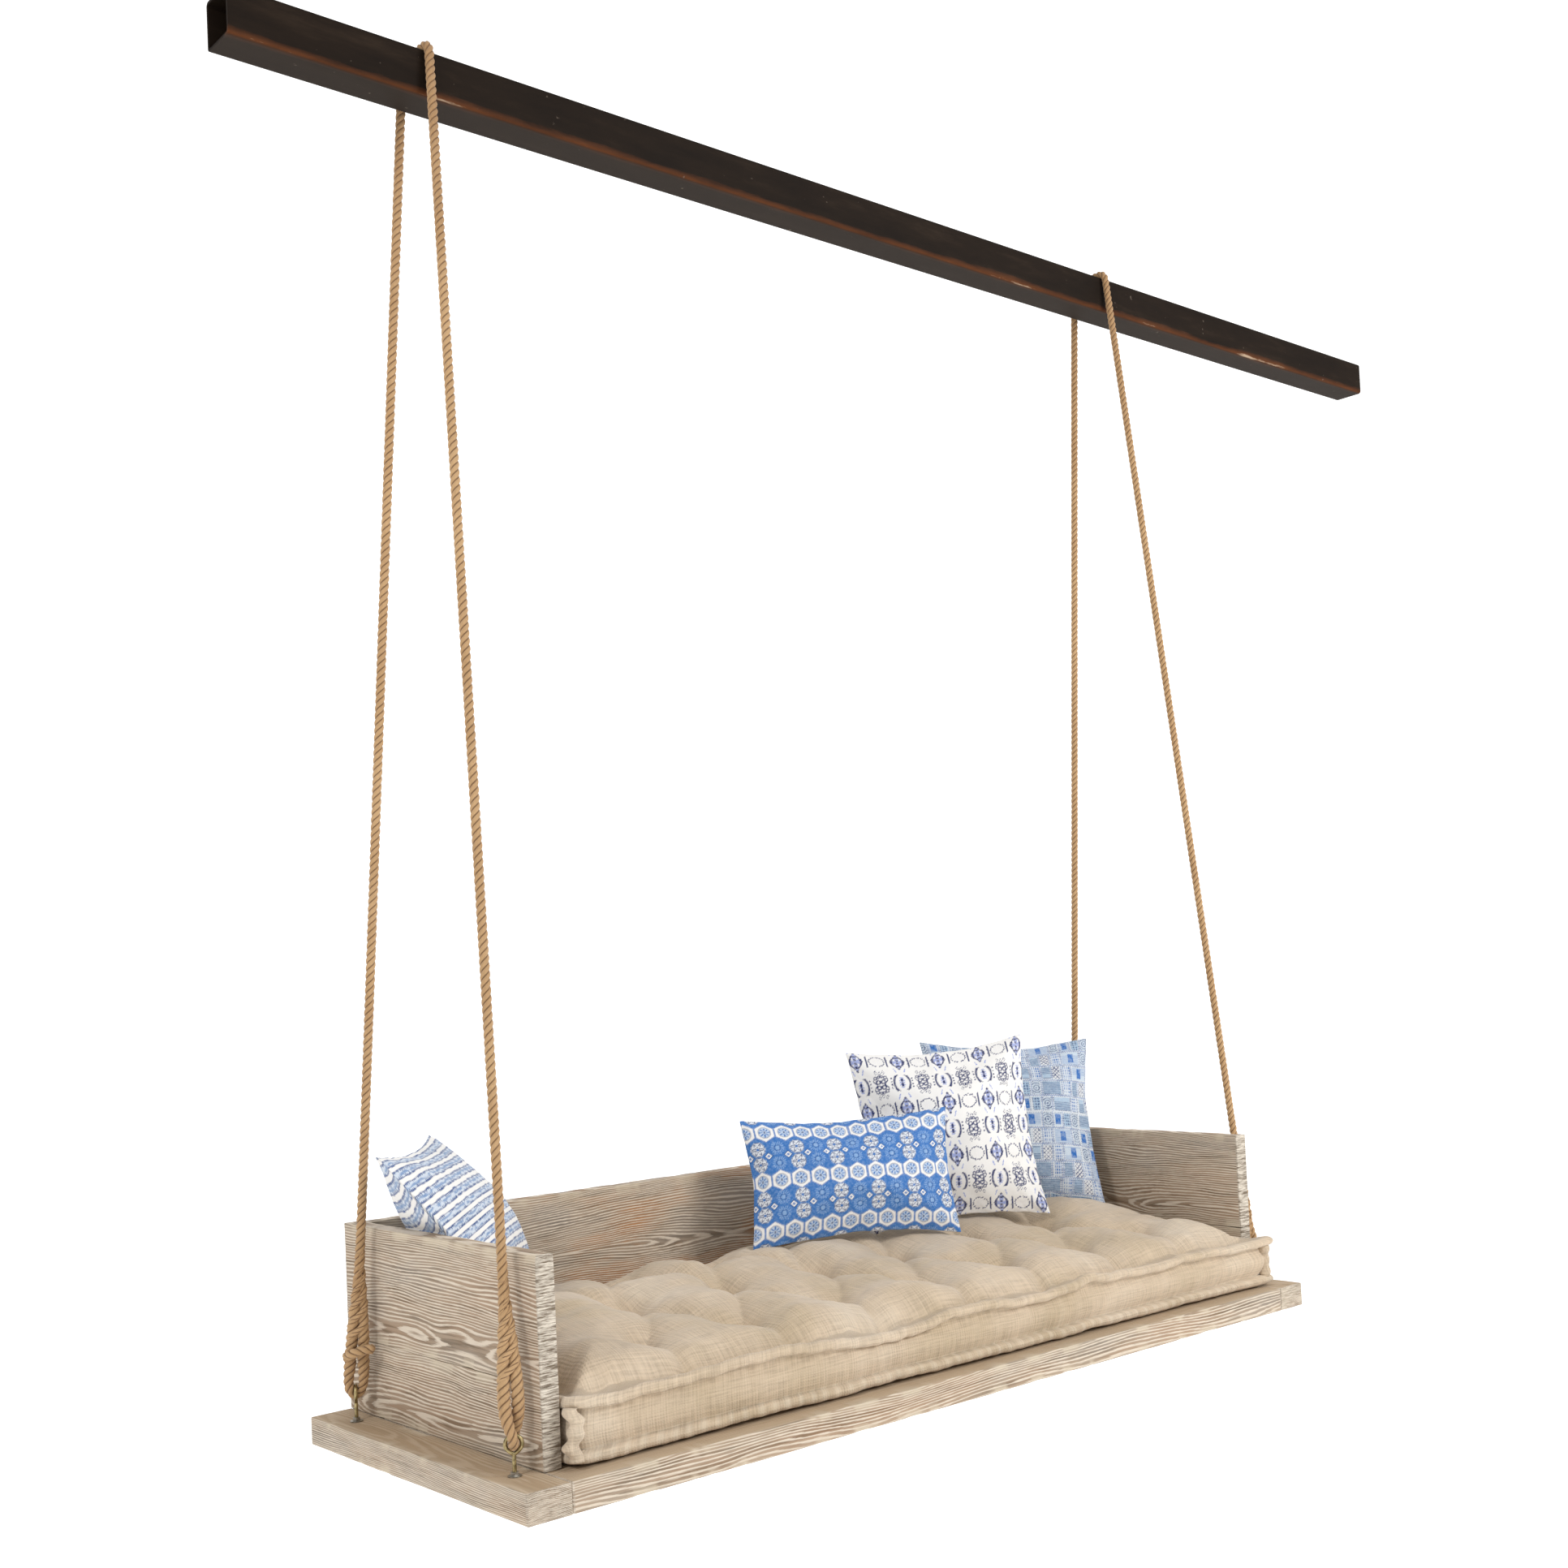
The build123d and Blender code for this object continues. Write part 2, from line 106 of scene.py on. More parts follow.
class DaybedColours(bpy.types.PropertyGroup):
    """Colours of the finishes."""

    rope: colour("Rope", "#CFA97C", "Crest of the rope's strands")
    # Painted shade: the colour of the grooves between the strands stands for the shade that falls in them.
    rope_groove_shade: colour("Rope groove", "#7A5C40", "Between the rope's strands")
    oak: colour("Oak", "#A28F7B", "Weathered oak under the liming")
    lime: colour("Lime", "#D6C8B6", "White wax left in the pores")
    oak_dark: colour("Dark grain", "#766654", "Late wood and dirt")
    oak_warm: colour("Warm oak", "#AD7A50", "Patches where the wood's own colour shows")
    linen: colour("Linen", "#C8B59D", "Undyed linen")
    mill_scale: colour("Mill scale", "#17110D", "Hot-rolled steel as delivered")
    rust: colour("Rust", "#7A4524", "Rust on worn steel")
    cotton: colour("Cotton", "#E9E7E4", "Unprinted cotton")


# ------------------------------------------------------------------ arrays and meshes

def ripple(points, size, seed, octaves=3):
    """Smooth seeded noise, about -1 to 1: sine waves in random directions, halved in size and strength."""
    rng = np.random.default_rng(seed)
    total = np.zeros(len(points))
    for octave in range(octaves):
        waves = rng.normal(size=(7, points.shape[1]))
        waves /= np.linalg.norm(waves, axis=1)[:, None] * size * rng.uniform(0.7, 1.5, 7)[:, None]
        phase = rng.uniform(0, 2 * np.pi, 7)
        total += 0.5 ** octave * np.sin(2 * np.pi * points @ waves.T + phase).sum(1) / 3
        size /= 2
    return total


def smooth_step(low, high, value):
    """0 below low, 1 above high, and a smooth curve between."""
    share = np.clip((value - low) / (high - low), 0, 1)
    return share * share * (3 - 2 * share)


def grid_faces(rows, columns, close_columns=False):
    """Quads between the neighbouring points of a grid, row by row."""
    row, column = np.meshgrid(
        np.arange(rows - 1), np.arange(columns if close_columns else columns - 1), indexing="ij"
    )
    after = (column + 1) % columns
    corners = (row * columns + column, row * columns + after,
               (row + 1) * columns + after, (row + 1) * columns + column)
    return np.stack(corners, -1).reshape(-1, 4)


def build(name, points, faces, material, body=None, attributes=None, merge=0.0):
    """A smooth mesh object from arrays, with point attributes, facing outwards, riding on a body."""
    mesh = bpy.data.meshes.new(name)
    mesh.from_pydata(points.tolist(), [], faces if isinstance(faces, list) else faces.tolist())
    for key, values in (attributes or {}).items():
        kind = "FLOAT" if values.ndim == 1 else "FLOAT_VECTOR" if values.shape[1] == 3 else "FLOAT_COLOR"
        field = {"FLOAT": "value", "FLOAT_VECTOR": "vector", "FLOAT_COLOR": "color"}[kind]
        attribute = mesh.attributes.new(key, kind, "POINT")
        attribute.data.foreach_set(field, values.astype(np.float32).ravel())
    shape = bmesh.new()
    shape.from_mesh(mesh)
    if merge:
        bmesh.ops.remove_doubles(shape, verts=shape.verts, dist=merge)
    bmesh.ops.recalc_face_normals(shape, faces=shape.faces)
    shape.to_mesh(mesh)
    shape.free()
    mesh.shade_smooth()
    mesh.materials.append(material)
    piece = bpy.data.objects.new(name, mesh)
    bpy.context.scene.collection.objects.link(piece)
    if body:
        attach(piece, body)
    return piece


def read_points(mesh):
    """All vertex positions of a mesh."""
    points = np.zeros(len(mesh.vertices) * 3, np.float32)
    mesh.vertices.foreach_get("co", points)
    return points.reshape(-1, 3).astype(float)


def taken_mesh(piece):
    """The piece's mesh with its modifiers applied."""
    graph = bpy.context.evaluated_depsgraph_get()
    return bpy.data.meshes.new_from_object(piece.evaluated_get(graph), depsgraph=graph)


def spline_points(points, spacing):
    """Evenly spaced points of a smooth open NURBS line of order 3 with these control points."""
    line = bpy.data.curves.new("route", "CURVE")
    line.dimensions = "3D"
    line.resolution_u = 24
    spline = line.splines.new("NURBS")
    spline.points.add(len(points) - 1)
    spline.points.foreach_set("co", np.column_stack([points, np.ones(len(points))]).ravel())
    spline.order_u = 3
    spline.use_endpoint_u = True
    carrier = bpy.data.objects.new("route", line)
    mesh = bpy.data.meshes.new_from_object(carrier)
    found = read_points(mesh)
    bpy.data.objects.remove(carrier)
    bpy.data.curves.remove(line)
    bpy.data.meshes.remove(mesh)
    run = np.concatenate([[0], np.cumsum(np.linalg.norm(np.diff(found, axis=0), axis=1))])
    even = np.linspace(0, run[-1], int(run[-1] / spacing) + 1)
    return np.column_stack([np.interp(even, run, found[:, i]) for i in range(3)]), even


# ------------------------------------------------------------------ materials

def add(tree, kind, inputs=None, stops=None, **settings):
    """One shader node with its settings. inputs maps a socket to a value or to the output it follows."""
    node = tree.nodes.new("ShaderNode" + kind)
    for name, value in settings.items():
        setattr(node, name, value)
    for key, value in (inputs or {}).items():
        if isinstance(value, bpy.types.NodeSocket):
            tree.links.new(value, node.inputs[key])
        else:
            node.inputs[key].default_value = value
    if stops:
        ramp = node.color_ramp.elements
        while len(ramp) < len(stops):
            ramp.new(1.0)
        for element, (position, value) in zip(ramp, stops):
            element.position = position
            element.color = value if hasattr(value, "__len__") else (value, value, value, 1)
    return node


def new_material(name):
    """A material with an empty tree but for its output, and that tree."""
    material = bpy.data.materials.new(name)
    material.use_nodes = True
    tree = material.node_tree
    tree.nodes.clear()
    return material, tree


def finish_material(tree, colour_from, bump=None, depth=0.001, strength=0.5, **sockets):
    """Joins a colour and a height to a principled shader and the output."""
    shader = add(tree, "BsdfPrincipled", {"Base Color": colour_from})
    for name, value in sockets.items():
        socket = shader.inputs[name.replace("_", " ")]
        if isinstance(value, bpy.types.NodeSocket):
            tree.links.new(value, socket)
        else:
            socket.default_value = value
    if bump is not None:
        relief = add(tree, "Bump", {"Height": bump, "Distance": depth, "Strength": strength})
        tree.links.new(relief.outputs[0], shader.inputs["Normal"])
    add(tree, "OutputMaterial", {"Surface": shader.outputs[0]})


def limed_oak(name, colours, cut=0.0, dust=0.0, arch=0.085, warmth=0.15, rings_scale=62.0):
    """Oak, sawn, weathered and limed: pale wax in open pores over grey-brown wood, matt and rough.

    cut is the strength of the saw marks on its ends, dust of the dust on its top, arch how far its
    growth rings wander, and warmth how much of the wood's own colour shows.
    """
    material, tree = new_material(name)
    grain = add(tree, "Attribute", attribute_name="grain").outputs["Vector"]
    # The pith wanders a few millimetres along a board, which makes the arches.
    stretch = add(tree, "Mapping", {"Vector": grain, "Scale": (1.9, 7.0, 7.0)}).outputs[0]
    wander = add(tree, "TexNoise", {"Vector": stretch, "Scale": 1.0, "Detail": 2.0, "Roughness": 0.45})
    shift = add(tree, "VectorMath", {0: wander.outputs["Color"], 1: (0.5, 0.5, 0.5)}, operation="SUBTRACT")
    shift = add(tree, "VectorMath", {0: shift.outputs[0], 1: (0.0, arch, arch)}, operation="MULTIPLY")
    bent = add(tree, "VectorMath", {0: grain, 1: shift.outputs[0]}, operation="ADD").outputs[0]
    pith = add(tree, "Mapping", {"Vector": bent, "Location": (0, 0.0, 0.055), "Scale": (0.04, 1, 1)})
    # Growth rings about 5 mm wide, each with a thin line of open pores.
    rings = add(
        tree, "TexWave", {"Vector": pith.outputs[0], "Scale": rings_scale, "Distortion": 2.6, "Detail": 3.0,
                          "Detail Scale": 2.4, "Detail Roughness": 0.6},
        wave_type="RINGS", rings_direction="X", wave_profile="SAW",
    ).outputs["Fac"]
    # Pores: streaks about 1.5 mm wide and 40 mm long, coarser than real ones so that they show.
    fine = add(tree, "Mapping", {"Vector": bent, "Scale": (22.0, 620.0, 620.0)}).outputs[0]
    pores = add(tree, "TexNoise", {"Vector": fine, "Scale": 1.0, "Detail": 3.0, "Roughness": 0.6})
    pores = pores.outputs["Fac"]
    streaks = add(tree, "Mapping", {"Vector": bent, "Scale": (5.0, 110.0, 110.0)}).outputs[0]
    streaks = add(tree, "TexNoise", {"Vector": streaks, "Scale": 1.0, "Detail": 4.0, "Roughness": 0.55})
    patches = add(tree, "TexNoise", {"Vector": stretch, "Scale": 1.3, "Detail": 5.0, "Roughness": 0.62})
    band = add(
        tree, "ValToRGB", {0: rings}, stops=[(0.0, 0.3), (0.12, 0.05), (0.45, 0.22), (0.8, 1.0), (1.0, 0.5)]
    ).outputs[0]
    limed = add(tree, "Math", {0: band, 1: pores}, operation="MULTIPLY").outputs[0]
    limed = add(tree, "ValToRGB", {0: limed}, stops=[(0.12, 0.0), (0.36, 0.95)]).outputs[0]
    dark = add(tree, "ValToRGB", {0: streaks.outputs[0]}, stops=[(0.36, 0.9), (0.54, 0.0)]).outputs[0]
    warm = add(tree, "ValToRGB", {0: patches.outputs[0]}, stops=[(0.47, 0.0), (0.60, warmth)]).outputs[0]
    ashen = add(tree, "ValToRGB", {0: patches.outputs[0]}, stops=[(0.36, 0.45), (0.47, 0.0)]).outputs[0]
    shade = add(
        tree, "Mix", {0: dark, 6: tuple(colours.oak), 7: tuple(colours.oak_dark)}, data_type="RGBA"
    ).outputs[2]
    shade = add(tree, "Mix", {0: warm, 6: shade, 7: tuple(colours.oak_warm)}, data_type="RGBA").outputs[2]
    shade = add(tree, "Mix", {0: ashen, 6: shade, 7: linear("#8F8A84")}, data_type="RGBA").outputs[2]
    shade = add(tree, "Mix", {0: limed, 6: shade, 7: tuple(colours.lime)}, data_type="RGBA").outputs[2]
    # Trodden and dusty from above, where the grain is half hidden.
    facing = add(tree, "NewGeometry").outputs["Normal"]
    upward = add(tree, "SeparateXYZ", {0: facing}).outputs["Z"]
    dusty = add(tree, "MapRange", {0: upward, 1: 0.8, 2: 0.98, 3: 0.0, 4: dust}).outputs[0]
    shade = add(tree, "Mix", {0: dusty, 6: shade, 7: linear("#B39B7D")}, data_type="RGBA").outputs[2]
    worn = add(tree, "Attribute", attribute_name="wear").outputs["Fac"]
    shade = add(tree, "Mix", {0: worn, 6: shade, 7: linear("#CDBFA9")}, data_type="RGBA").outputs[2]
    rough = add(tree, "Math", {0: limed, 1: pores}, operation="ADD").outputs[0]
    # Saw marks across the grain, about 3 mm apart, on the cut ends.
    if cut:
        marks = add(tree, "Mapping", {"Vector": grain, "Scale": (30, 30, 330)}).outputs[0]
        marks = add(tree, "TexNoise", {"Vector": marks, "Scale": 1.0, "Detail": 4.0, "Roughness": 0.7})
        scored = add(tree, "ValToRGB", {0: marks.outputs[0]}, stops=[(0.38, 0.0), (0.6, 1.0)]).outputs[0]
        end = add(tree, "Attribute", attribute_name="end").outputs["Fac"]
        sawn = add(
            tree, "Mix", {0: scored, 6: linear("#6F6151"), 7: linear("#D9CFC0")}, data_type="RGBA"
        ).outputs[2]
        share = add(tree, "Math", {0: end, 1: cut}, operation="MULTIPLY").outputs[0]
        shade = add(tree, "Mix", {0: share, 6: shade, 7: sawn}, data_type="RGBA").outputs[2]
        extra = add(tree, "Math", {0: marks.outputs[0], 1: end}, operation="MULTIPLY").outputs[0]
        extra = add(tree, "Math", {0: extra, 1: 0.5}, operation="MULTIPLY").outputs[0]
        rough = add(tree, "Math", {0: rough, 1: extra}, operation="ADD").outputs[0]
    finish_material(tree, shade, rough, 0.0012, 0.5, Roughness=0.82, Specular_IOR_Level=0.25)
    return material


def manila(colours):
    """Laid manila rope: tan fibre, brown and shaded between the strands, matt and hairy."""
    material, tree = new_material("laid manila fibre")
    lay = add(tree, "Attribute", attribute_name="lay").outputs["Vector"]
    crest = add(tree, "Attribute", attribute_name="crest").outputs["Fac"]
    # Yarns: about 1.5 mm across and long along the rope.
    fibres = add(tree, "Mapping", {"Vector": lay, "Scale": (90.0, 22.0, 1.0)}).outputs[0]
    fibres = add(tree, "TexNoise", {"Vector": fibres, "Scale": 1.0, "Detail": 4.0, "Roughness": 0.7})
    place = add(tree, "TexCoord").outputs["Object"]
    blotch = add(tree, "TexNoise", {"Vector": place, "Scale": 9.0, "Detail": 2.0}).outputs[0]
    # Painted shade: the grooves between the strands take a darker colour than the crests.
    ridge = add(tree, "ValToRGB", {0: crest}, stops=[(0.05, 0.0), (0.62, 1.0)]).outputs[0]
    tone = add(
        tree, "Mix", {0: ridge, 6: tuple(colours.rope_groove_shade), 7: tuple(colours.rope)}, data_type="RGBA"
    ).outputs[2]
    hair = add(tree, "ValToRGB", {0: fibres.outputs[0]}, stops=[(0.3, 0.55), (0.68, 1.12)]).outputs[0]
    tone = add(tree, "Mix", {0: 0.75, 6: tone, 7: hair}, data_type="RGBA", blend_type="MULTIPLY").outputs[2]
    aged = add(
        tree, "ValToRGB", {0: blotch}, stops=[(0.35, (0.86, 0.82, 0.78, 1)), (0.65, (1, 1, 1, 1))]
    ).outputs[0]
    tone = add(tree, "Mix", {0: 1.0, 6: tone, 7: aged}, data_type="RGBA", blend_type="MULTIPLY").outputs[2]
    # The rope is coloured darker towards its top, over the half metre below the beam.
    height = add(tree, "SeparateXYZ", {0: place}).outputs["Z"]
    darker_top = add(tree, "MapRange", {0: height, 1: -0.5, 2: 0.05, 3: 0.0, 4: 0.45}).outputs[0]
    tone = add(tree, "Mix", {0: darker_top, 6: tone, 7: linear("#7C552F")}, data_type="RGBA").outputs[2]
    finish_material(
        tree, tone, fibres.outputs[0], 0.0012, 0.7, Roughness=0.9, Specular_IOR_Level=0.15,
        Sheen_Weight=0.15, Sheen_Roughness=0.6,
    )
    return material


def mill_scale(colours):
    """Hot-rolled steel tube: black-brown scale, rusty along its lower front edge, where a thin bright line is
    part scuffed scale and part painted highlight.
    """
    material, tree = new_material("hot-rolled mill-scale steel")
    place = add(tree, "TexCoord").outputs["Object"]
    axes = add(tree, "SeparateXYZ", {0: place})
    cloud = add(tree, "Mapping", {"Vector": place, "Scale": (4.0, 22.0, 22.0)}).outputs[0]
    cloud = add(tree, "TexNoise", {"Vector": cloud, "Scale": 1.0, "Detail": 6.0, "Roughness": 0.65})
    cloud = cloud.outputs[0]
    shade = add(tree, "ValToRGB", {0: cloud}, stops=[
        (0.3, tuple(colours.mill_scale)), (0.55, linear("#1F1711")), (0.75, linear("#2C221A"))]).outputs[0]
    # Distance from the lower front edge of the tube.
    edge = add(tree, "VectorMath", {0: place, 1: (0.0, -0.0445, -0.0445)}, operation="SUBTRACT")
    edge = add(tree, "VectorMath", {0: edge.outputs[0], 1: (0.0, 1.0, 1.0)}, operation="MULTIPLY")
    edge = add(tree, "VectorMath", {0: edge.outputs[0]}, operation="LENGTH").outputs["Value"]
    wobble = add(tree, "Math", {0: cloud, 1: -0.030, 2: 0.0165}, operation="MULTIPLY_ADD").outputs[0]
    edge = add(tree, "Math", {0: edge, 1: wobble}, operation="ADD").outputs[0]
    glow = add(tree, "MapRange", {0: edge, 1: 0.002, 2: 0.016, 3: 0.45, 4: 0.0}).outputs[0]
    shade = add(tree, "Mix", {0: glow, 6: shade, 7: tuple(colours.rust)}, data_type="RGBA").outputs[2]
    # Painted highlight, with scuffed scale: a thin pale line right on the rounded lower front edge.
    scuff_and_highlight = add(tree, "MapRange", {0: edge, 1: 0.0005, 2: 0.0030, 3: 0.8, 4: 0.0}).outputs[0]
    shade = add(tree, "Mix", {0: scuff_and_highlight, 6: shade, 7: linear("#B59F86")}, data_type="RGBA").outputs[2]
    under = add(tree, "MapRange", {0: axes.outputs["Z"], 1: -0.0425, 2: -0.0440, 3: 0.0, 4: 0.6}).outputs[0]
    shade = add(tree, "Mix", {0: under, 6: shade, 7: linear("#332B25")}, data_type="RGBA").outputs[2]
    specks = add(tree, "TexNoise", {"Vector": place, "Scale": 60.0, "Detail": 3.0}).outputs[0]
    specks = add(tree, "ValToRGB", {0: specks}, stops=[(0.72, 0.0), (0.78, 0.7)]).outputs[0]
    shade = add(tree, "Mix", {0: specks, 6: shade, 7: linear("#6E6258")}, data_type="RGBA").outputs[2]
    finish_material(tree, shade, cloud, 0.0008, 0.4, Roughness=0.6, Metallic=0.0, Specular_IOR_Level=0.06)
    return material


def plated_steel(name, tint, dull):
    """Zinc-plated steel wire and turned parts: soft shine under a cloudy passivation."""
    material, tree = new_material(name)
    place = add(tree, "TexCoord").outputs["Object"]
    cloud = add(tree, "TexNoise", {"Vector": place, "Scale": 140.0, "Detail": 4.0}).outputs[0]
    shade = add(tree, "ValToRGB", {0: cloud}, stops=[(0.35, linear(dull)), (0.62, linear(tint))]).outputs[0]
    rough = add(tree, "MapRange", {0: cloud, 3: 0.25, 4: 0.5}).outputs[0]
    finish_material(tree, shade, cloud, 0.0002, 0.3, Roughness=rough, Metallic=1.0)
    return material


def plain_wood():
    """Planed beech for pegs, splines and dowels: pale, fine grain."""
    material, tree = new_material("planed beech")
    place = add(tree, "TexCoord").outputs["Object"]
    stretch = add(tree, "Mapping", {"Vector": place, "Scale": (40, 300, 300)}).outputs[0]
    grain = add(tree, "TexNoise", {"Vector": stretch, "Scale": 1.0, "Detail": 4.0}).outputs[0]
    shade = add(tree, "ValToRGB", {0: grain}, stops=[(0.3, linear("#A98B64")), (0.7, linear("#CBB38D"))])
    finish_material(tree, shade.outputs[0], grain, 0.0004, 0.4, Roughness=0.65)
    return material


def woven_linen(colours):
    """Undyed linen in plain weave: slubby threads, matt, with a soft sheen at grazing angles."""
    material, tree = new_material("undyed woven linen")
    cloth = add(tree, "Attribute", attribute_name="cloth").outputs["Vector"]
    # Threads are drawn 3 mm apart, coarser than real ones so that they show.
    warp = add(tree, "TexWave", {"Vector": cloth, "Scale": 53.0, "Distortion": 1.2, "Detail": 2.0},
               bands_direction="X").outputs["Fac"]
    weft = add(tree, "TexWave", {"Vector": cloth, "Scale": 53.0, "Distortion": 1.2, "Detail": 2.0},
               bands_direction="Y").outputs["Fac"]
    weave = add(tree, "Math", {0: warp, 1: weft}, operation="MULTIPLY").outputs[0]
    along = add(tree, "Mapping", {"Vector": cloth, "Scale": (14, 330, 40)}).outputs[0]
    across = add(tree, "Mapping", {"Vector": cloth, "Scale": (330, 14, 40)}).outputs[0]
    slubs = [add(tree, "TexNoise", {"Vector": way, "Scale": 1.0, "Detail": 2.0}).outputs[0]
             for way in (along, across)]
    slub = add(tree, "Math", {0: slubs[0], 1: slubs[1]}, operation="ADD").outputs[0]
    place = add(tree, "TexCoord").outputs["Object"]
    cloud = add(tree, "TexNoise", {"Vector": place, "Scale": 5.0, "Detail": 4.0}).outputs[0]
    tone = add(tree, "ValToRGB", {0: cloud}, stops=[(0.32, linear("#BBA88D")), (0.55, tuple(colours.linen)),
                                                 (0.8, linear("#D2C3AE"))]).outputs[0]
    # The slub is the sum of two noises, so it is halved first.
    half = add(tree, "Math", {0: slub, 1: 0.5}, operation="MULTIPLY").outputs[0]
    thread = add(tree, "ValToRGB", {0: half}, stops=[(0.36, 0.74), (0.52, 0.98), (0.68, 1.12)]).outputs[0]
    tone = add(tree, "Mix", {0: 0.85, 6: tone, 7: thread}, data_type="RGBA", blend_type="MULTIPLY").outputs[2]
    stitched = add(tree, "Attribute", attribute_name="stitch").outputs["Fac"]
    tone = add(tree, "Mix", {0: stitched, 6: tone, 7: linear("#E4DAC6")}, data_type="RGBA").outputs[2]
    height = add(tree, "Math", {0: weave, 1: slub}, operation="ADD").outputs[0]
    finish_material(
        tree, tone, height, 0.0012, 0.5, Roughness=0.92, Specular_IOR_Level=0.15,
        Sheen_Weight=0.25, Sheen_Roughness=0.5,
    )
    return material


def printed_cotton(name, paper, light, mid, dark):
    """Printed cotton: flat matt inks soaked into a fine canvas, a little uneven."""
    material, tree = new_material(name)
    inks = add(tree, "Attribute", attribute_name="ink").outputs["Color"]
    cover = add(tree, "SeparateColor", {0: inks})
    cloth = add(tree, "Attribute", attribute_name="cloth").outputs["Vector"]
    fade = add(tree, "TexNoise", {"Vector": cloth, "Scale": 160.0, "Detail": 3.0}).outputs[0]
    fade = add(tree, "MapRange", {0: fade, 1: 0.3, 2: 0.6, 3: 0.78, 4: 1.0}).outputs[0]
    shade = paper
    for channel, ink in (("Blue", light), ("Green", mid), ("Red", dark)):
        share = add(tree, "Math", {0: cover.outputs[channel], 1: fade}, operation="MULTIPLY").outputs[0]
        shade = add(tree, "Mix", {0: share, 6: shade, 7: linear(ink)}, data_type="RGBA").outputs[2]
    # Canvas threads, drawn 1.6 mm apart.
    threads = [add(tree, "TexWave", {"Vector": cloth, "Scale": 98.0, "Distortion": 0.6},
                   bands_direction=axis).outputs["Fac"] for axis in "XY"]
    weave = add(tree, "Math", {0: threads[0], 1: threads[1]}, operation="MULTIPLY").outputs[0]
    finish_material(
        tree, shade, weave, 0.0005, 0.35, Roughness=0.88, Specular_IOR_Level=0.2,
        Sheen_Weight=0.15, Sheen_Roughness=0.5,
    )
    return material


# ------------------------------------------------------------------ ropes

# The left rope; the right one is its mirror image. Its foot in each eye, and its route from the front
# splice up over the beam, the second half being the first half's mirror image.
ROPE_FOOT = {"front": (-1.0245, -0.296, -2.468), "rear": (-1.0245, 0.296, -2.468)}
ROPE_RISE = {"front": (0.03097, 0.09622, 0.99488), "rear": (0.03097, -0.09622, 0.99488)}
ROPE_ROUTE = (
    (-1.0152, -0.2671, -2.1695), (-0.9472, -0.0560, 0.0139), (-0.9460, -0.0521, 0.0537),
    (-0.9460, -0.0136, 0.0537),
)
# Heading of the rope through each eye, in degrees, and how far the spliced loop turns above it.
LOOP_HEADING = {"front": (60.6, -90.0), "rear": (-24.8, -14.0)}
# The spliced end from the cut end down, through the eye and up to the throat:
# distance from the rope's line, side, share of the loop's turn, and height above the eye.
SPLICE_ROUTE = (
    (0.0050, 1, 1.25, 0.230), (0.0075, 1, 1.15, 0.190), (0.0095, 1, 1.05, 0.150), (0.0108, 1, 1.0, 0.112),
    (0.0118, 1, 0.95, 0.080), (0.0125, 1, 0.70, 0.052), (0.0140, 1, 0.30, 0.028), (0.0125, 1, 0.0, 0.009),
    (0.0050, 1, 0.0, -0.003), (0.0050, -1, 0.0, -0.003), (0.0125, -1, 0.0, 0.009),
    (0.0140, -1, 0.30, 0.028), (0.0125, -1, 0.70, 0.052), (0.0118, -1, 0.95, 0.080),
    (0.0098, -1, 1.0, 0.114), (0.0065, -1, 1.05, 0.155), (0.0030, -1, 1.1, 0.205),
)


def loop_frame(end, share):
    """Foot, across, depth and up directions of the left rope's loop, turned by a share of its twist."""
    foot, up = np.array(ROPE_FOOT[end]), np.array(ROPE_RISE[end])
    heading, twist = LOOP_HEADING[end]
    angle = math.radians(heading + twist * share)
    across = np.array([math.cos(angle), math.sin(angle), 0.0])
    across -= up * (across @ up)
    across /= np.linalg.norm(across)
    return foot, across, np.cross(up, across), up


def spliced_end(end):
    """Control points of one spliced end, from the cut end of the rope to the throat."""
    points = []
    for reach, side, share, height in SPLICE_ROUTE:
        foot, across, _, up = loop_frame(end, share)
        points.append(foot + across * reach * side + up * height)
    return np.array(points)


def rope_route():
    """Control points of the left rope from one cut end, over the beam, to the other."""
    over = np.array(ROPE_ROUTE)
    back = over[::-1] * (1, -1, 1)
    return np.vstack([spliced_end("front"), over, back, spliced_end("rear")[::-1]])


def laid_rope(name, path, run, radius, lay, material, body=None):
    """Three strands laid right-handed: a three-lobed outline that turns once per lay along a path.

    The outline's radius is the rope's radius less a share of it where the strands meet.
    """
    sides = 24
    around = np.arange(sides) / sides * 2 * np.pi
    tangent = np.gradient(path, axis=0)
    tangent /= np.linalg.norm(tangent, axis=1)[:, None]
    side = np.array([1.0, 0.0, 0.0]) - tangent * tangent[:, :1]
    side /= np.linalg.norm(side, axis=1)[:, None]
    other = np.cross(tangent, side)
    crest = np.abs(np.cos(1.5 * around)) ** 0.85
    turn = 2 * np.pi * run[:, None] / lay + around
    reach = radius[:, None] * (1 - 0.27 * (1 - crest)) * (
        1 + 0.02 * np.sin(9 * turn + 40 * run[:, None]) + 0.012 * np.sin(173 * run[:, None] + 2 * around))
    points = path[:, None] + reach[..., None] * (
        np.cos(turn)[..., None] * side[:, None] + np.sin(turn)[..., None] * other[:, None])
    rings = len(path)
    faces = grid_faces(rings, sides, True).tolist()
    faces += [list(range(sides)), list(range((rings - 1) * sides, rings * sides))]
    lay_at = np.stack(np.broadcast_arrays(around / (2 * np.pi) * 3, run[:, None] * 10, 0 * turn), -1)
    attributes = {
        "lay": lay_at.reshape(-1, 3),
        "crest": np.broadcast_to(crest, turn.shape).ravel(),
    }
    return build(name, points.reshape(-1, 3), faces, material, body, attributes)


def nearest(path, point):
    """Index of the path's point nearest to a point."""
    return int(np.argmin(np.linalg.norm(path - np.array(point), axis=1)))


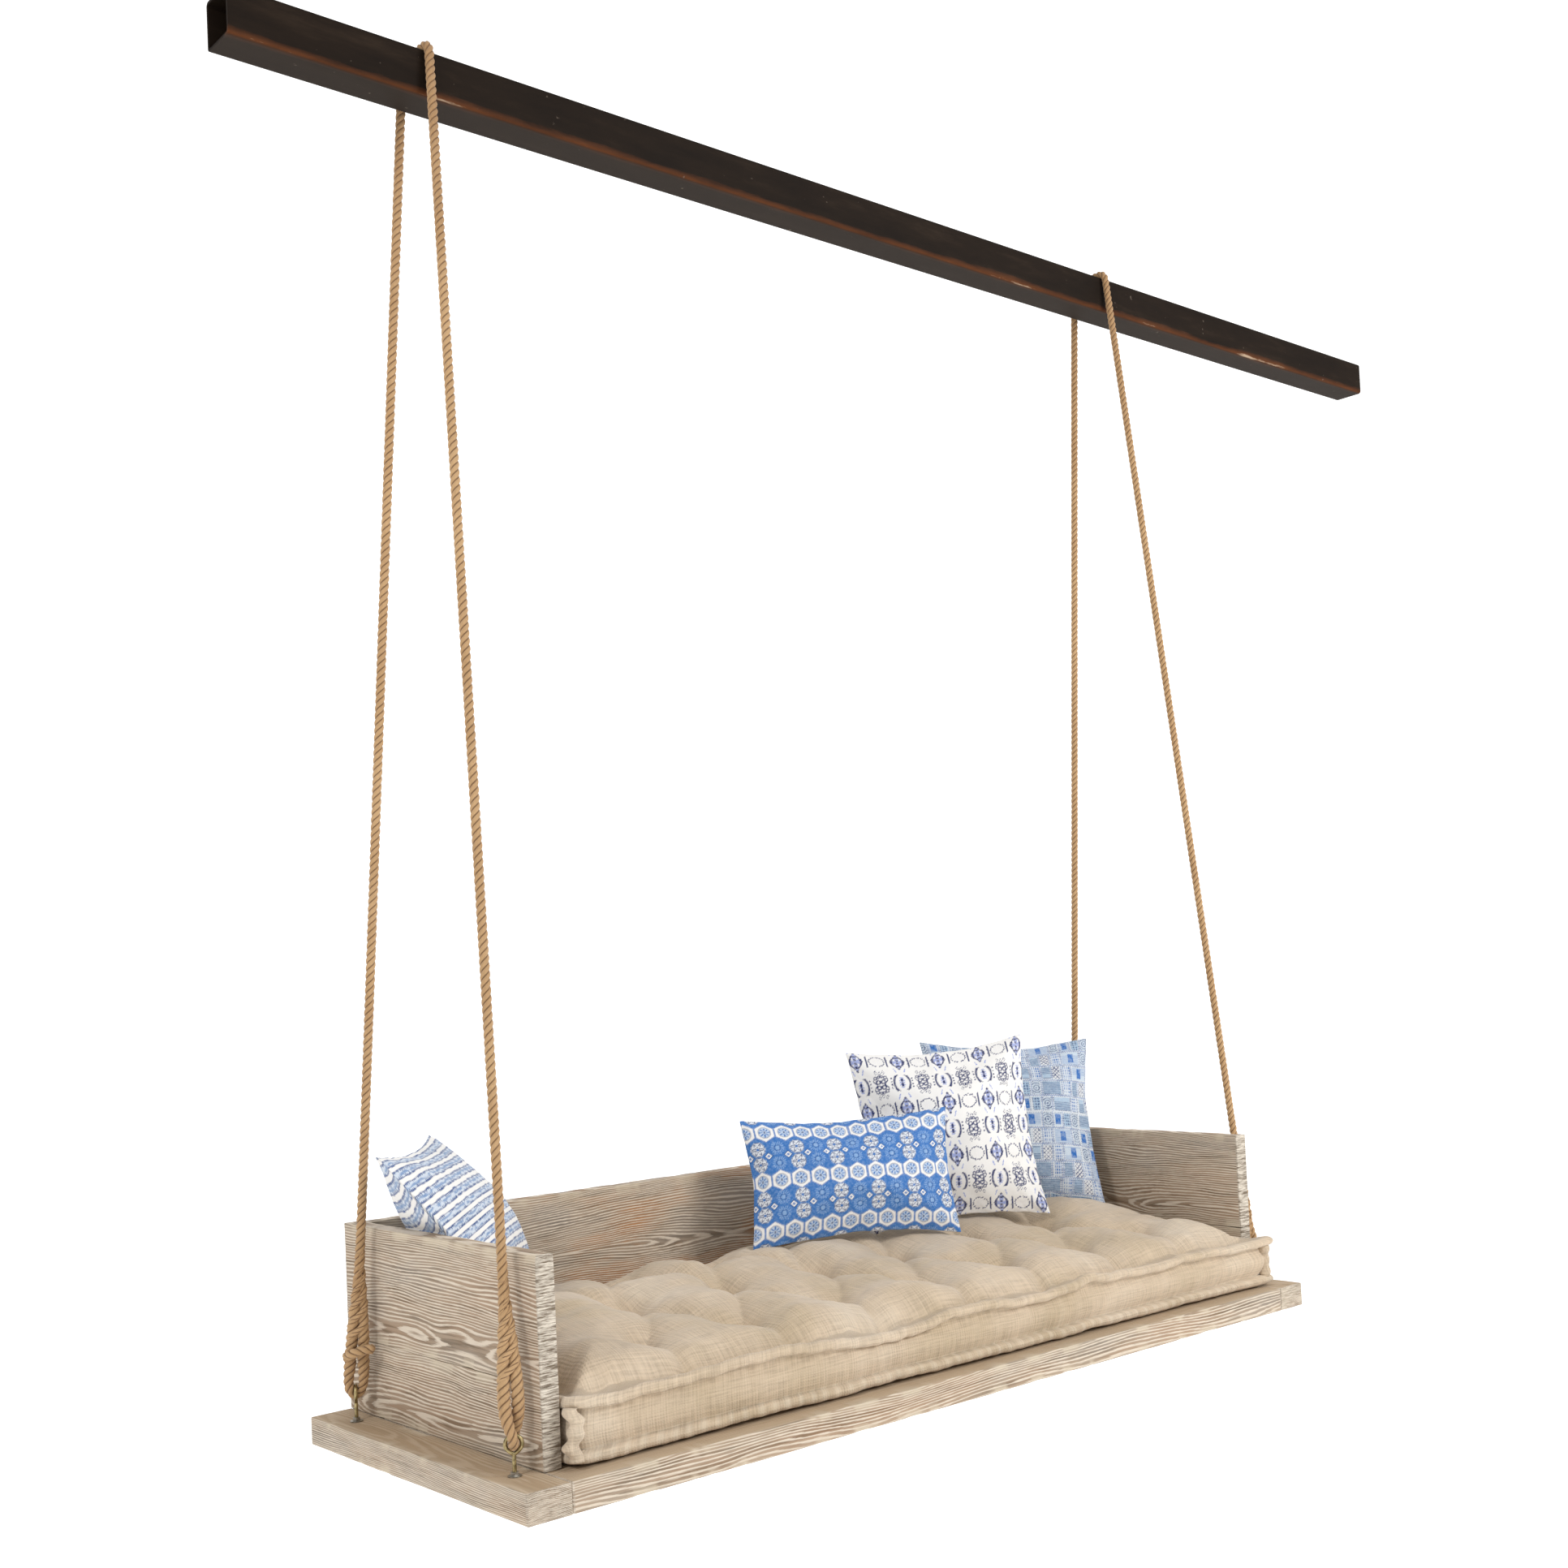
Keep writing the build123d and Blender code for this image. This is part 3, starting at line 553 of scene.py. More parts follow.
class DAYBED_OT_ropes(bpy.types.Operator):
    """Lay both ropes over the beam and splice their four eyes"""

    bl_idname = "daybed.ropes"
    bl_label = "Ropes"

    def execute(self, context):
        sizes = context.scene.daybed_sizes
        fibre = manila(context.scene.daybed_colours)
        control = rope_route()
        for name, hand in SIDES.items():
            flip = np.array([-hand, 1, 1])
            path, run = spline_points(control * flip, sizes.rope_lay / 16)
            radius = sizes.rope_diameter / 2 * self.fullness(path * flip, run)
            cut = [nearest(path, (np.array(ROPE_FOOT[e]) + np.array(ROPE_RISE[e]) * 0.27) * flip)
                   for e in ("front", "rear")]
            spans = {
                f"rope_eye_front_{name}": slice(0, cut[0] + 1),
                f"rope_{name}": slice(cut[0], cut[1] + 1),
                f"rope_eye_rear_{name}": slice(cut[1], None),
            }
            made = {
                piece: laid_rope(piece, path[span], run[span], radius[span], sizes.rope_lay, fibre,
                                 "swing" if "eye" in piece else None)
                for piece, span in spans.items()
            }
            rope = made[f"rope_{name}"]
            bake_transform(rope)
            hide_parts(f"rope_bight_{name}", f"rope_leg_front_{name}", f"rope_leg_rear_{name}")
            for end in ENDS:
                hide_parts(f"eye_splice_{end}_{name}")
            self.tucked_strands(name, flip, fibre, sizes)
        return {"FINISHED"}

    def fullness(self, path, run):
        """The rope's thickness as a share of its own: fuller through each splice, and tapered to the
        cut end, read off against the height above the eye."""
        full = np.ones(len(path))
        first = run < run[-1] / 2
        for end, mask in (("front", first), ("rear", ~first)):
            foot, up = np.array(ROPE_FOOT[end]), np.array(ROPE_RISE[end])
            height = (path[mask] - foot) @ up
            lowest = run[mask][np.argmin(height)]
            tail = run[mask] < lowest if end == "front" else run[mask] > lowest
            levels = (0.0, 0.02, 0.05, 0.11, 0.16, 0.22, 0.34)
            standing = np.interp(height, levels, (1.0, 1.06, 1.30, 1.30, 1.22, 1.12, 1.0))
            tapered = np.interp(height, levels, (1.0, 1.06, 1.30, 1.26, 0.95, 0.55, 0.4))
            full[mask] = np.where(tail, tapered, standing)
        return full

    def tucked_strands(self, name, flip, fibre, sizes):
        """The strands tucked round the standing part above each throat, as helices that close in on it."""
        for end in ENDS:
            foot, across, depth, up = (v * flip for v in loop_frame(end, 1.0))
            rise = np.linspace(0.100, 0.275, 100)
            run = rise - rise[0]
            share = run / run[-1]
            for strand in range(3):
                angle = 2 * np.pi * (rise / 0.085 + strand / 3) * flip[0]
                reach_x = 0.0160 - 0.0098 * smooth_step(0, 1, share)
                reach_y = 0.0105 - 0.0043 * share
                path = (foot + up * rise[:, None] + across * (reach_x * np.cos(angle))[:, None]
                        + depth * (reach_y * np.sin(angle))[:, None])
                taper = 1 - 0.62 * smooth_step(0.35, 1.0, share)
                radius = 0.0056 * taper * smooth_step(-0.12, 0.10, share)
                laid_rope(f"tucked_strand_{strand + 1}_{end}_{name}", path, run, radius,
                          sizes.rope_lay * 0.6, fibre, "swing")
        # The rear ends leave a short stub across the throat.
        foot, across, depth, up = (v * flip for v in loop_frame("rear", 1.0))
        toward = -depth if depth[1] > 0 else depth
        right = across if across[0] > 0 else -across
        control = foot + np.array([
            up * 0.070 + toward * 0.004 - right * 0.018, up * 0.079 + toward * 0.021 - right * 0.008,
            up * 0.088 + toward * 0.025 + right * 0.012, up * 0.092 + toward * 0.018 + right * 0.038,
        ])
        path, run = spline_points(control, 0.002)
        radius = 0.0098 * np.sqrt(np.clip((run[-1] - run) / 0.006, 0.05, 1))
        laid_rope(f"rope_stub_{name}", path, run, radius, sizes.rope_lay, fibre, "swing")


# ------------------------------------------------------------------ timber and steel

def plank(node, low, high, along, wear, material, seed):
    """A sawn plank: a rounded rectangle carried along the grain, with uneven edges and domed ends.

    The outline moves in by a quarter circle, 0.8 of the wear radius, so each end is rounded over too.
    """
    low, high = np.array(low), np.array(high)
    across = 1 - along
    size = high - low
    rng = np.random.default_rng(seed)
    sides, thick = size[across], size[2]
    straight = [np.linspace(-1, 1, n) for n in (max(5, int(sides / 0.03)), max(4, int(thick / 0.02)))]
    arc = np.linspace(0, np.pi / 2, 4)[1:-1]
    outline, out_dir = [], []
    for index, (corner_x, corner_y) in enumerate(((1, 1), (-1, 1), (-1, -1), (1, -1))):
        # A straight run up to this corner, then its arc; directions point outwards.
        run = straight[(index + 1) % 2]
        start = index * np.pi / 2
        face = np.array([math.cos(start), math.sin(start)])
        turn = np.array([-face[1], face[0]])
        half = np.abs(face * (sides / 2, thick / 2)).sum()
        span = np.abs(turn * (sides / 2, thick / 2)).sum() - wear
        outline += [face * half + turn * span * t for t in run]
        out_dir += [face] * len(run)
        centre = np.array([corner_x * (sides / 2 - wear), corner_y * (thick / 2 - wear)])
        for angle in arc:
            heading = np.array([math.cos(start + angle), math.sin(start + angle)])
            outline.append(centre + heading * wear)
            out_dir.append(heading)
    outline, out_dir = np.array(outline), np.array(out_dir)
    steps = np.linspace(0, np.pi / 2, 4)
    dome = wear * 0.8
    cap = dome * (1 - np.sin(steps))
    reach = size[along]
    inner = np.linspace(cap[0] + 0.004, reach - cap[0] - 0.004, max(4, int(reach / 0.012)))
    stations = np.concatenate([cap[::-1], inner, reach - cap])
    round_in = dome * (1 - np.cos(steps))
    inset = np.concatenate([round_in[::-1], np.zeros(len(inner)), round_in])
    rows, count = len(stations), len(outline)
    flat = np.broadcast_to(outline, (rows, count, 2)) - out_dir * inset[:, None, None]
    place = np.concatenate([np.broadcast_to(stations[:, None, None], (rows, count, 1)), flat], -1)
    sample = place.reshape(-1, 3) + rng.uniform(0, 9, 3)
    # Edges lose up to the wear radius in places, faces stay within half a millimetre.
    corner = np.exp(-np.min([np.abs(np.abs(flat[..., 0]) - sides / 2),
                             np.abs(np.abs(flat[..., 1]) - thick / 2)], 0) / 0.001)
    near = (np.abs(flat[..., 0]) > sides / 2 - 2.2 * wear) & (np.abs(flat[..., 1]) > thick / 2 - 2.2 * wear)
    chips = np.clip(ripple(sample * (1, 0.2, 0.2), 0.09, seed, 4) - 0.25, 0, 1).reshape(rows, count)
    uneven = ripple(sample * (0.5, 1, 1), 0.12, seed + 1, 3).reshape(rows, count)
    depth = 0.00025 * (uneven - 1) - wear * 0.7 * chips * near * corner
    flat = flat + out_dir * depth[..., None]
    points = np.empty((rows, count, 3))
    points[..., along] = low[along] + stations[:, None]
    points[..., across] = (low + high)[across] / 2 + flat[..., 0]
    points[..., 2] = (low + high)[2] / 2 + flat[..., 1]
    faces = grid_faces(rows, count, True).tolist()
    faces += [list(range(count)), list(range((rows - 1) * count, rows * count))]
    # Each plank is cut from its own stretch of the log, up to 30 mm off the pith.
    off_pith = rng.uniform(-0.03, 0.03, 3)[1:]
    grain = sample + (seed * 0.37, 0, 0)
    grain[:, 1:] += off_pith - grain[:, 1:].mean(0)
    end = np.zeros((rows, count))
    end[:len(cap)] = end[-len(cap):] = 1
    worn = np.clip(chips * near * 1.3, 0, 0.7) + 0.18 * near
    attributes = {"grain": grain, "end": end.ravel(), "wear": worn.ravel()}
    piece = build(
        f"oak_{node}", points.reshape(-1, 3), faces, material, "swing", attributes
    )
    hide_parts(node)


class DAYBED_OT_timber(bpy.types.Operator):
    """Plank the deck and its surround in limed oak"""

    bl_idname = "daybed.timber"
    bl_label = "Timber"

    def execute(self, context):
        wear = context.scene.daybed_sizes.edge_wear
        colours = context.scene.daybed_colours
        oak = limed_oak(
            "limed weathered oak, quarter sawn", colours, cut=0.45, dust=0.72, arch=0.035, warmth=0.22,
            rings_scale=105.0,
        )
        sawn = limed_oak("limed oak with sawn ends", colours, cut=1.0)
        aged = limed_oak("limed oak, worn through", colours, cut=0.45, warmth=0.85)
        # Each member's long axis, 0 for X and 1 for Y, and its finish.
        members = {f"deck_board_{index + 1}": (0, oak) for index in range(6)}
        for side in SIDES:
            members[f"end_rail_{side}"] = (1, oak)
            for level in ("lower", "upper"):
                members[f"side_panel_{side}_{level}"] = (1, sawn)
        for level in ("lower", "upper"):
            members[f"back_panel_{level}"] = (0, aged)
        for seed, (node, (along, finish)) in enumerate(members.items()):
            low, high = (list(corner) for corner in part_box(node))
            if node.startswith("deck_board"):
                # The boards stop at the end rails; their tongues are out of sight.
                low[0], high[0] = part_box("end_rail_left")[1].x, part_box("end_rail_right")[0].x
            edge = wear if "panel" not in node else wear * 0.75
            plank(node, low, high, along, edge, finish, seed + 3)
        beech = plain_wood()
        for node in ("deck_splines", "breadboard_pegs", "plank_dowels", "corner_dowels"):
            dress(node, beech)
        return {"FINISHED"}


def dress(node, material):
    """Gives a CAD node its material."""
    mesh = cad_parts[node].data
    mesh.materials.clear()
    mesh.materials.append(material)


class DAYBED_OT_steel(bpy.types.Operator):
    """Finish the beam, the eye bolts and the fasteners"""

    bl_idname = "daybed.steel"
    bl_label = "Steel"

    def execute(self, context):
        dress("beam", mill_scale(context.scene.daybed_colours))
        gold = plated_steel("yellow-passivated zinc wire", "#B5A478", "#75694B")
        grey = plated_steel("zinc-plated steel", "#B5B2AA", "#85827B")
        for side in SIDES:
            for end in ENDS:
                dress(f"eye_bolt_{end}_{side}", gold)
        for node in ("top_washers", "top_nuts", "bottom_washers", "bottom_nuts", "panel_screws"):
            dress(node, grey)
        return {"FINISHED"}


# ------------------------------------------------------------------ mattress

MATTRESS = {"half": 0.931, "front": -0.345, "back": 0.354, "corner": 0.035}
# Two rows of seven ties with a row of six between them, half a step along.
TUFT_STEP = 0.235
TUFTS = [(TUFT_STEP * (i - 3), y) for y in (-0.205, 0.225) for i in range(7)]
TUFTS += [(TUFT_STEP * (i - 2.5), 0.010) for i in range(6)]
STITCH = 0.031


def mattress_outline(inset):
    """Points round the mattress, moved in by inset: straight runs joined by round corners."""
    share = max(0.0, 1 - max(inset, 0) / 0.3495)
    half_x = MATTRESS["half"] - inset
    middle = (MATTRESS["front"] + MATTRESS["back"]) / 2
    half_y = (MATTRESS["back"] - MATTRESS["front"]) / 2 - inset
    radius = min(MATTRESS["corner"] * share, half_y) if half_y > 0 else 0.0
    runs = []
    arc = np.linspace(0, np.pi / 2, 10)[1:-1]
    for quarter, count in enumerate((130, 360, 130, 360)):
        start = quarter * np.pi / 2
        face = np.array([round(math.cos(start)), round(math.sin(start))])
        turn = np.array([-face[1], face[0]])
        out = abs(face[0]) * half_x + abs(face[1]) * half_y
        span = abs(turn[0]) * half_x + abs(turn[1]) * half_y - radius
        line = np.linspace(-1, 1, count)[:, None] * turn * span + face * out
        bend = face * (out - radius) + turn * span + radius * (
            np.cos(arc)[:, None] * face + np.sin(arc)[:, None] * turn)
        runs += [line, bend]
    return np.concatenate(runs) + (0, middle)


def crease(points, start, end, bow, width):
    """A fold between two points, 1 on its floor: a bowed line with a sharp valley for a section."""
    start, end = np.array(start), np.array(end)
    line = end - start
    reach = np.linalg.norm(line)
    t = np.clip((points - start) @ line / reach ** 2, 0, 1)
    normal = np.array([-line[1], line[0]]) / reach
    centre = start + t[:, None] * line + (bow * 4 * t * (1 - t))[:, None] * normal
    gap = np.linalg.norm(points - centre, axis=1)
    return np.exp(-(gap / width) ** 1.15) * (1 - 0.45 * (4 * t * (1 - t)))


def mattress_height(points, sizes):
    """Height of the mattress's top above the deck: a crown that rolls over at the edges, less a deep
    dimple at each tie and valleys between the ties, plus soft lumps of filling."""
    x, y = points[:, 0], points[:, 1]
    # It is fuller towards the back.
    edges = [MATTRESS["half"] - np.abs(x), y - MATTRESS["front"], MATTRESS["back"] - y]
    inward = np.min(edges, 0)
    crown = sizes.mattress_crown + 0.036 * smooth_step(-0.20, 0.20, y)
    height = 0.112 + crown * (1 - np.exp(-np.clip(inward - 0.010, 0, None) / 0.042))
    height += 0.0050 * ripple(points, 0.33, 11, 2) + 0.0016 * ripple(points, 0.09, 12, 2)
    dip = np.zeros(len(points))
    for index, (tx, ty) in enumerate(TUFTS):
        gap = np.hypot(x - tx, y - ty)
        dip += sizes.tuft_depth * np.exp(-(gap / 0.024) ** 1.2) + 0.030 * np.exp(-(gap / 0.080) ** 2)
        for other, (ox, oy) in enumerate(TUFTS):
            if other > index and 0 < math.hypot(tx - ox, ty - oy) < 0.26 and ty != oy:
                bow = (0.018 + 0.010 * math.sin(index * 2.3 + other)) * (1 if (index + other) % 2 else -1)
                dip += 0.030 * crease(points, (tx, ty), (ox, oy), bow, 0.017)
        if ty < -0.1:
            lean = 0.05 * math.sin(3.1 * index)
            dip += 0.024 * crease(points, (tx, ty), (tx + lean, MATTRESS["front"] - 0.02), 0.014, 0.016)
        if ty > 0.1:
            dip += 0.020 * crease(points, (tx, ty), (tx, MATTRESS["back"] + 0.02), 0.010, 0.016)
    return height - 0.085 * (1 - np.exp(-dip / 0.085))


def mattress_rings(sizes):
    """Rings of the mattress's skin, each (inset, height, share of the wobble), from under its middle,
    round the bottom roll, up the side and round the top roll to the top's middle."""
    roll = sizes.roll_radius
    rings = [
        (0.349, 0.008, 0.0), (0.22, 0.008, 0.0), (0.10, 0.007, 0.0), (0.04, 0.006, 0.0), (0.016, 0.007, 0.3),
    ]
    for angle in np.radians(np.arange(-95, 96, 19)):
        rings.append((-0.004 - roll * math.cos(angle), 0.0135 + roll * math.sin(angle), 0.55))
    rings += [(0.0035, 0.0245, 0.45), (0.0005, 0.031, 0.3)]
    for share in np.linspace(0.1, 0.9, 9):
        rings.append((-0.0065 * math.sin(math.pi * share), 0.031 + 0.056 * share, 0.25))
    rings += [(0.0015, 0.088, 0.6), (0.0045, 0.0945, 0.9)]
    for angle in np.radians(np.arange(-90, 106, 19)):
        rings.append((-0.005 - roll * math.cos(angle), 0.1040 + roll * math.sin(angle), 1.0))
    rings += [(0.0055, 0.1105, 0.8)]
    inset = 0.012
    while inset < 0.345:
        rings.append((inset, None, max(0.0, 0.6 - inset * 8)))
        inset += 0.0042 if inset < 0.09 else 0.006
    rings.append((0.3494, None, 0.0))
    return rings


class DAYBED_OT_mattress(bpy.types.Operator):
    """Stuff and tuft the linen mattress with its rolled edges"""

    bl_idname = "daybed.mattress"
    bl_label = "Mattress"

    def execute(self, context):
        sizes = context.scene.daybed_sizes
        rings = mattress_rings(sizes)
        base = mattress_outline(0.0)
        outward = base - mattress_outline(0.05)
        outward /= np.linalg.norm(outward, axis=1)[:, None]
        # Noise round the edge is read on a circle as long as the edge, 5.2 m, so that its ends meet.
        run = np.concatenate([[0], np.cumsum(np.linalg.norm(np.diff(base, axis=0), axis=1))])
        around = np.column_stack([np.cos(2 * np.pi * run / 5.2), np.sin(2 * np.pi * run / 5.2)]) * 0.83
        sway, lift, gather, pinch = self.wander(around, run)
        ear = self.ears(base)
        layers = []
        for inset, height, wobble in rings:
            ring = mattress_outline(inset)
            top = mattress_height(ring, sizes) if height is None else np.full(len(ring), height)
            at_bottom = height is not None and height < 0.05
            rise = (np.abs(lift) * 0.55 if at_bottom else lift) * wobble + 0.010 * ear * max(wobble - 0.3, 0)
            if height is None:
                rise = rise + gather * math.exp(-inset / 0.035)
            out = (sway * wobble + pinch * (wobble > 0.5) + 0.009 * ear * wobble)
            out += 0.5 * gather * (inset < 0.01)
            layers.append(np.column_stack([ring + outward * out[:, None], top + rise]))
        points = np.array(layers)
        # The right front corner lies in front of the panel's edge and spreads past it.
        forward = smooth_step(-0.322, -0.338, points[..., 1])
        spread = 0.072 * smooth_step(0.86, 0.94, points[..., 0]) * forward
        points[..., 0] += spread
        points[..., 1] -= spread * 0.15
        # It is flattened where it meets the back and side panels.
        clear = 0.0015
        points[..., 1] = np.minimum(points[..., 1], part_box("back_panel_lower")[0].y - clear)
        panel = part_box("side_panel_left_lower")
        wall = np.where(points[..., 1] > panel[0].y - 0.002, -panel[1].x - clear, 2.0)
        points[..., 0] = np.clip(points[..., 0], -wall, wall)
        rows, count = points.shape[:2]
        flat = points.reshape(-1, 3)
        top = np.repeat([height is None for _, height, _ in rings], count)
        flat[top, 2] = self.pressed(flat[top], flat[top, 2])
        inset = np.repeat([inset for inset, _, _ in rings], count)
        cloth = self.cloth_coordinates(flat, inset, run, rows)
        # Pale stitches show on the bottom roll.
        thread = np.cos(2 * np.pi * run / STITCH + ripple(around, 0.2, 26, 2))
        stitch = np.zeros((rows, count))
        for row, (_, height, wobble) in enumerate(rings):
            if wobble > 0.3 and height is not None and height < 0.03:
                stitch[row] = 0.22 * smooth_step(0.1, 0.7, thread)
        flat[:, 2] += DECK_TOP
        faces = grid_faces(rows, count, True)
        mattress = build(
            "linen_mattress", flat, faces, woven_linen(context.scene.daybed_colours),
            "mattress", {"cloth": cloth, "stitch": stitch.ravel()}, merge=0.0004,
        )
        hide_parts("mattress_cover", "mattress_filling", "tufting_ties",
                    "mattress_top_roll", "mattress_bottom_roll")
        self.corner_rolls(mattress.data.materials[0], sizes)
        return {"FINISHED"}

    def wander(self, around, run):
        """How the edge wanders sideways and up and down, gathers, and is pinched at each stitch."""
        sway = 0.0022 * ripple(around, 0.28, 21, 3)
        lift = 0.0070 * ripple(around, 0.42, 22, 3) + 0.0024 * ripple(around, 0.11, 24, 2)
        gather = 0.0022 * ripple(around, 0.055, 25, 2)
        pinch = 0.0011 * np.cos(2 * np.pi * run / STITCH + 3 * ripple(around, 0.2, 23, 2))
        return sway, lift, gather, pinch

    def ears(self, base):
        """How far ears stand out where two rolls meet at a corner, most of all at the front."""
        ear = np.zeros(len(base))
        for corner_x in (-1, 1):
            for corner_y, size in ((MATTRESS["front"], 1.0), (MATTRESS["back"], 0.25)):
                gap = np.hypot(base[:, 0] - corner_x * MATTRESS["half"], base[:, 1] - corner_y)
                ear += size * np.exp(-(gap / 0.028) ** 2)
        return ear

    def cloth_coordinates(self, points, inset, run, rows):
        """Flat positions of the weave: seen from above on the top, and unrolled round the side."""
        side = inset < 0.008
        around = np.tile(run, rows)
        cloth = points.copy()
        cloth[side, 0] = around[side]
        cloth[side, 1] = points[side, 2]
        cloth[:, 2] = side * 3.0
        return cloth

    def pressed(self, points, height):
        """The top pushed down to clear the pillows: a smooth minimum with the lowest pillow point over
        each 8 mm square and its neighbours."""
        cell, corner, size = 0.008, np.array([-0.96, -0.37]), np.array([240, 92])
        floor = np.full(size, 9.0)
        for piece in PILLOW_PIECES:
            cloud = read_points(piece.data)
            square = ((cloud[:, :2] - corner) / cell).astype(int)
            keep = ((square >= 1) & (square < size - 1)).all(1)
            for shift in np.ndindex(3, 3):
                i, j = (square[keep] + shift - 1).T
                np.minimum.at(floor, (i, j), cloud[keep, 2] - DECK_TOP)
        floor = np.minimum(floor, 0.26)
        for _ in range(7):
            padded = np.pad(floor, 1, mode="edge")
            around = (padded[2:, 1:-1] + padded[:-2, 1:-1] + padded[1:-1, 2:] + padded[1:-1, :-2]) / 4
            floor = np.minimum(floor, around * 0.5 + floor * 0.5)
        place = np.clip((points[:, :2] - corner) / cell - 0.5, 0, size - 1.001)
        whole = place.astype(int)
        (i, j), (fi, fj) = whole.T, (place - whole).T
        limit = (floor[i, j] * (1 - fi) * (1 - fj) + floor[i + 1, j] * fi * (1 - fj)
                 + floor[i, j + 1] * (1 - fi) * fj + floor[i + 1, j + 1] * fi * fj) - 0.003
        # The 40 keeps both powers in range.
        soft = 0.004
        lowest = 40 - np.log(np.exp(40 - height / soft) + np.exp(40 - limit / soft))
        return np.where(height - limit > -0.03, soft * lowest, height)

    def corner_rolls(self, linen, sizes):
        """Upright rolls at the four corners, as wavy tubes between the bottom and the top roll."""
        around = np.linspace(0, 2 * np.pi, 17)[:-1]
        for name, hand in SIDES.items():
            for end, place in (("front", MATTRESS["front"]), ("back", MATTRESS["back"])):
                rise = np.linspace(0.014, 0.104, 40)
                spread = 0.058 if (name, end) == ("right", "front") else 0.0
                lean = 0.0035 * np.sin(rise * 95 + 2 * hand) + 0.002 * np.sin(rise * 210)
                front = end == "front"
                out, sign = (0.0045, -1) if front else (-0.004, 1)
                centre = np.column_stack([
                    hand * (MATTRESS["half"] + 0.006 * front + out * 0.6 + lean + spread),
                    place + sign * out + lean, rise + DECK_TOP,
                ])
                radius = sizes.roll_radius * (0.95 + 0.4 * front + 0.16 * np.sin(rise * 230))
                ring = np.stack([np.cos(around), np.sin(around), 0 * around], -1)
                points = centre[:, None] + ring * radius[:, None, None]
                rows, count = len(rise), len(around)
                faces = grid_faces(rows, count, True).tolist()
                faces += [list(range(count)), list(range((rows - 1) * count, rows * count))]
                cloth = points.reshape(-1, 3)[:, [2, 0, 1]]
                build(f"mattress_corner_roll_{end}_{name}", points.reshape(-1, 3), faces, linen,
                      "mattress", {"cloth": cloth, "stitch": np.zeros(len(cloth))})


# ------------------------------------------------------------------ pillows

PILLOW_PIECES = []


def sewn_envelope(width, height, columns, rows, thick):
    """Two rectangles of cloth sewn together at their edges, as a flat lens.

    Half thickness is (1 - u^4)(1 - v^4) of its greatest; the sides curve in between the corners.
    """
    u, v = np.meshgrid(np.linspace(-1, 1, columns), np.linspace(-1, 1, rows), indexing="ij")
    pull = 0.022
    x = width / 2 * u * (1 - pull * (1 - v ** 2) * u ** 2)
    y = height / 2 * v * (1 - pull * (1 - u ** 2) * v ** 2)
    lens = thick / 2 * (1 - u ** 4) * (1 - v ** 4)
    front = np.stack([x, y, lens], -1).reshape(-1, 3)
    back = front * (1, 1, -1)
    rim = ((np.abs(u) == 1) | (np.abs(v) == 1)).ravel()
    number = np.arange(columns * rows)
    behind = number.copy()
    behind[~rim] = columns * rows + np.arange((~rim).sum())
    faces = grid_faces(columns, rows)
    all_faces = np.concatenate([faces, behind[faces][:, ::-1]])
    flat = np.stack([u * width / 2, v * height / 2, 0 * u], -1).reshape(-1, 3)
    cloth = np.concatenate([flat, flat[~rim] * (1, 1, 0) + (0, 0, 1)])
    return np.concatenate([front, back[~rim]]), all_faces, cloth


def inflated(piece, pressure, frames):
    """Blows a sewn piece up as cloth, with gravity off, and takes the result into its mesh."""
    cloth = piece.modifiers.new("swell", "CLOTH")
    settings = cloth.settings
    settings.quality = 6
    settings.mass = 0.25
    settings.tension_stiffness = 28
    settings.compression_stiffness = 22
    settings.shear_stiffness = 10
    settings.bending_stiffness = 0.35
    settings.use_pressure = True
    settings.uniform_pressure_force = pressure
    settings.effector_weights.gravity = 0
    for number in range(1, frames + 1):
        bpy.context.scene.frame_set(number)
    mesh = taken_mesh(piece)
    piece.modifiers.clear()
    piece.data = mesh
    bpy.context.scene.frame_set(1)


def ink_sheet(count):
    """Empty ink coverage: dark, mid and light, and full alpha."""
    ink = np.zeros((count, 4))
    ink[:, 3] = 1
    return ink


def line_of(value, width, soft=0.0006):
    """1 within half a width of zero, fading over a soft edge."""
    return 1 - smooth_step(width / 2 - soft, width / 2 + soft, np.abs(value))


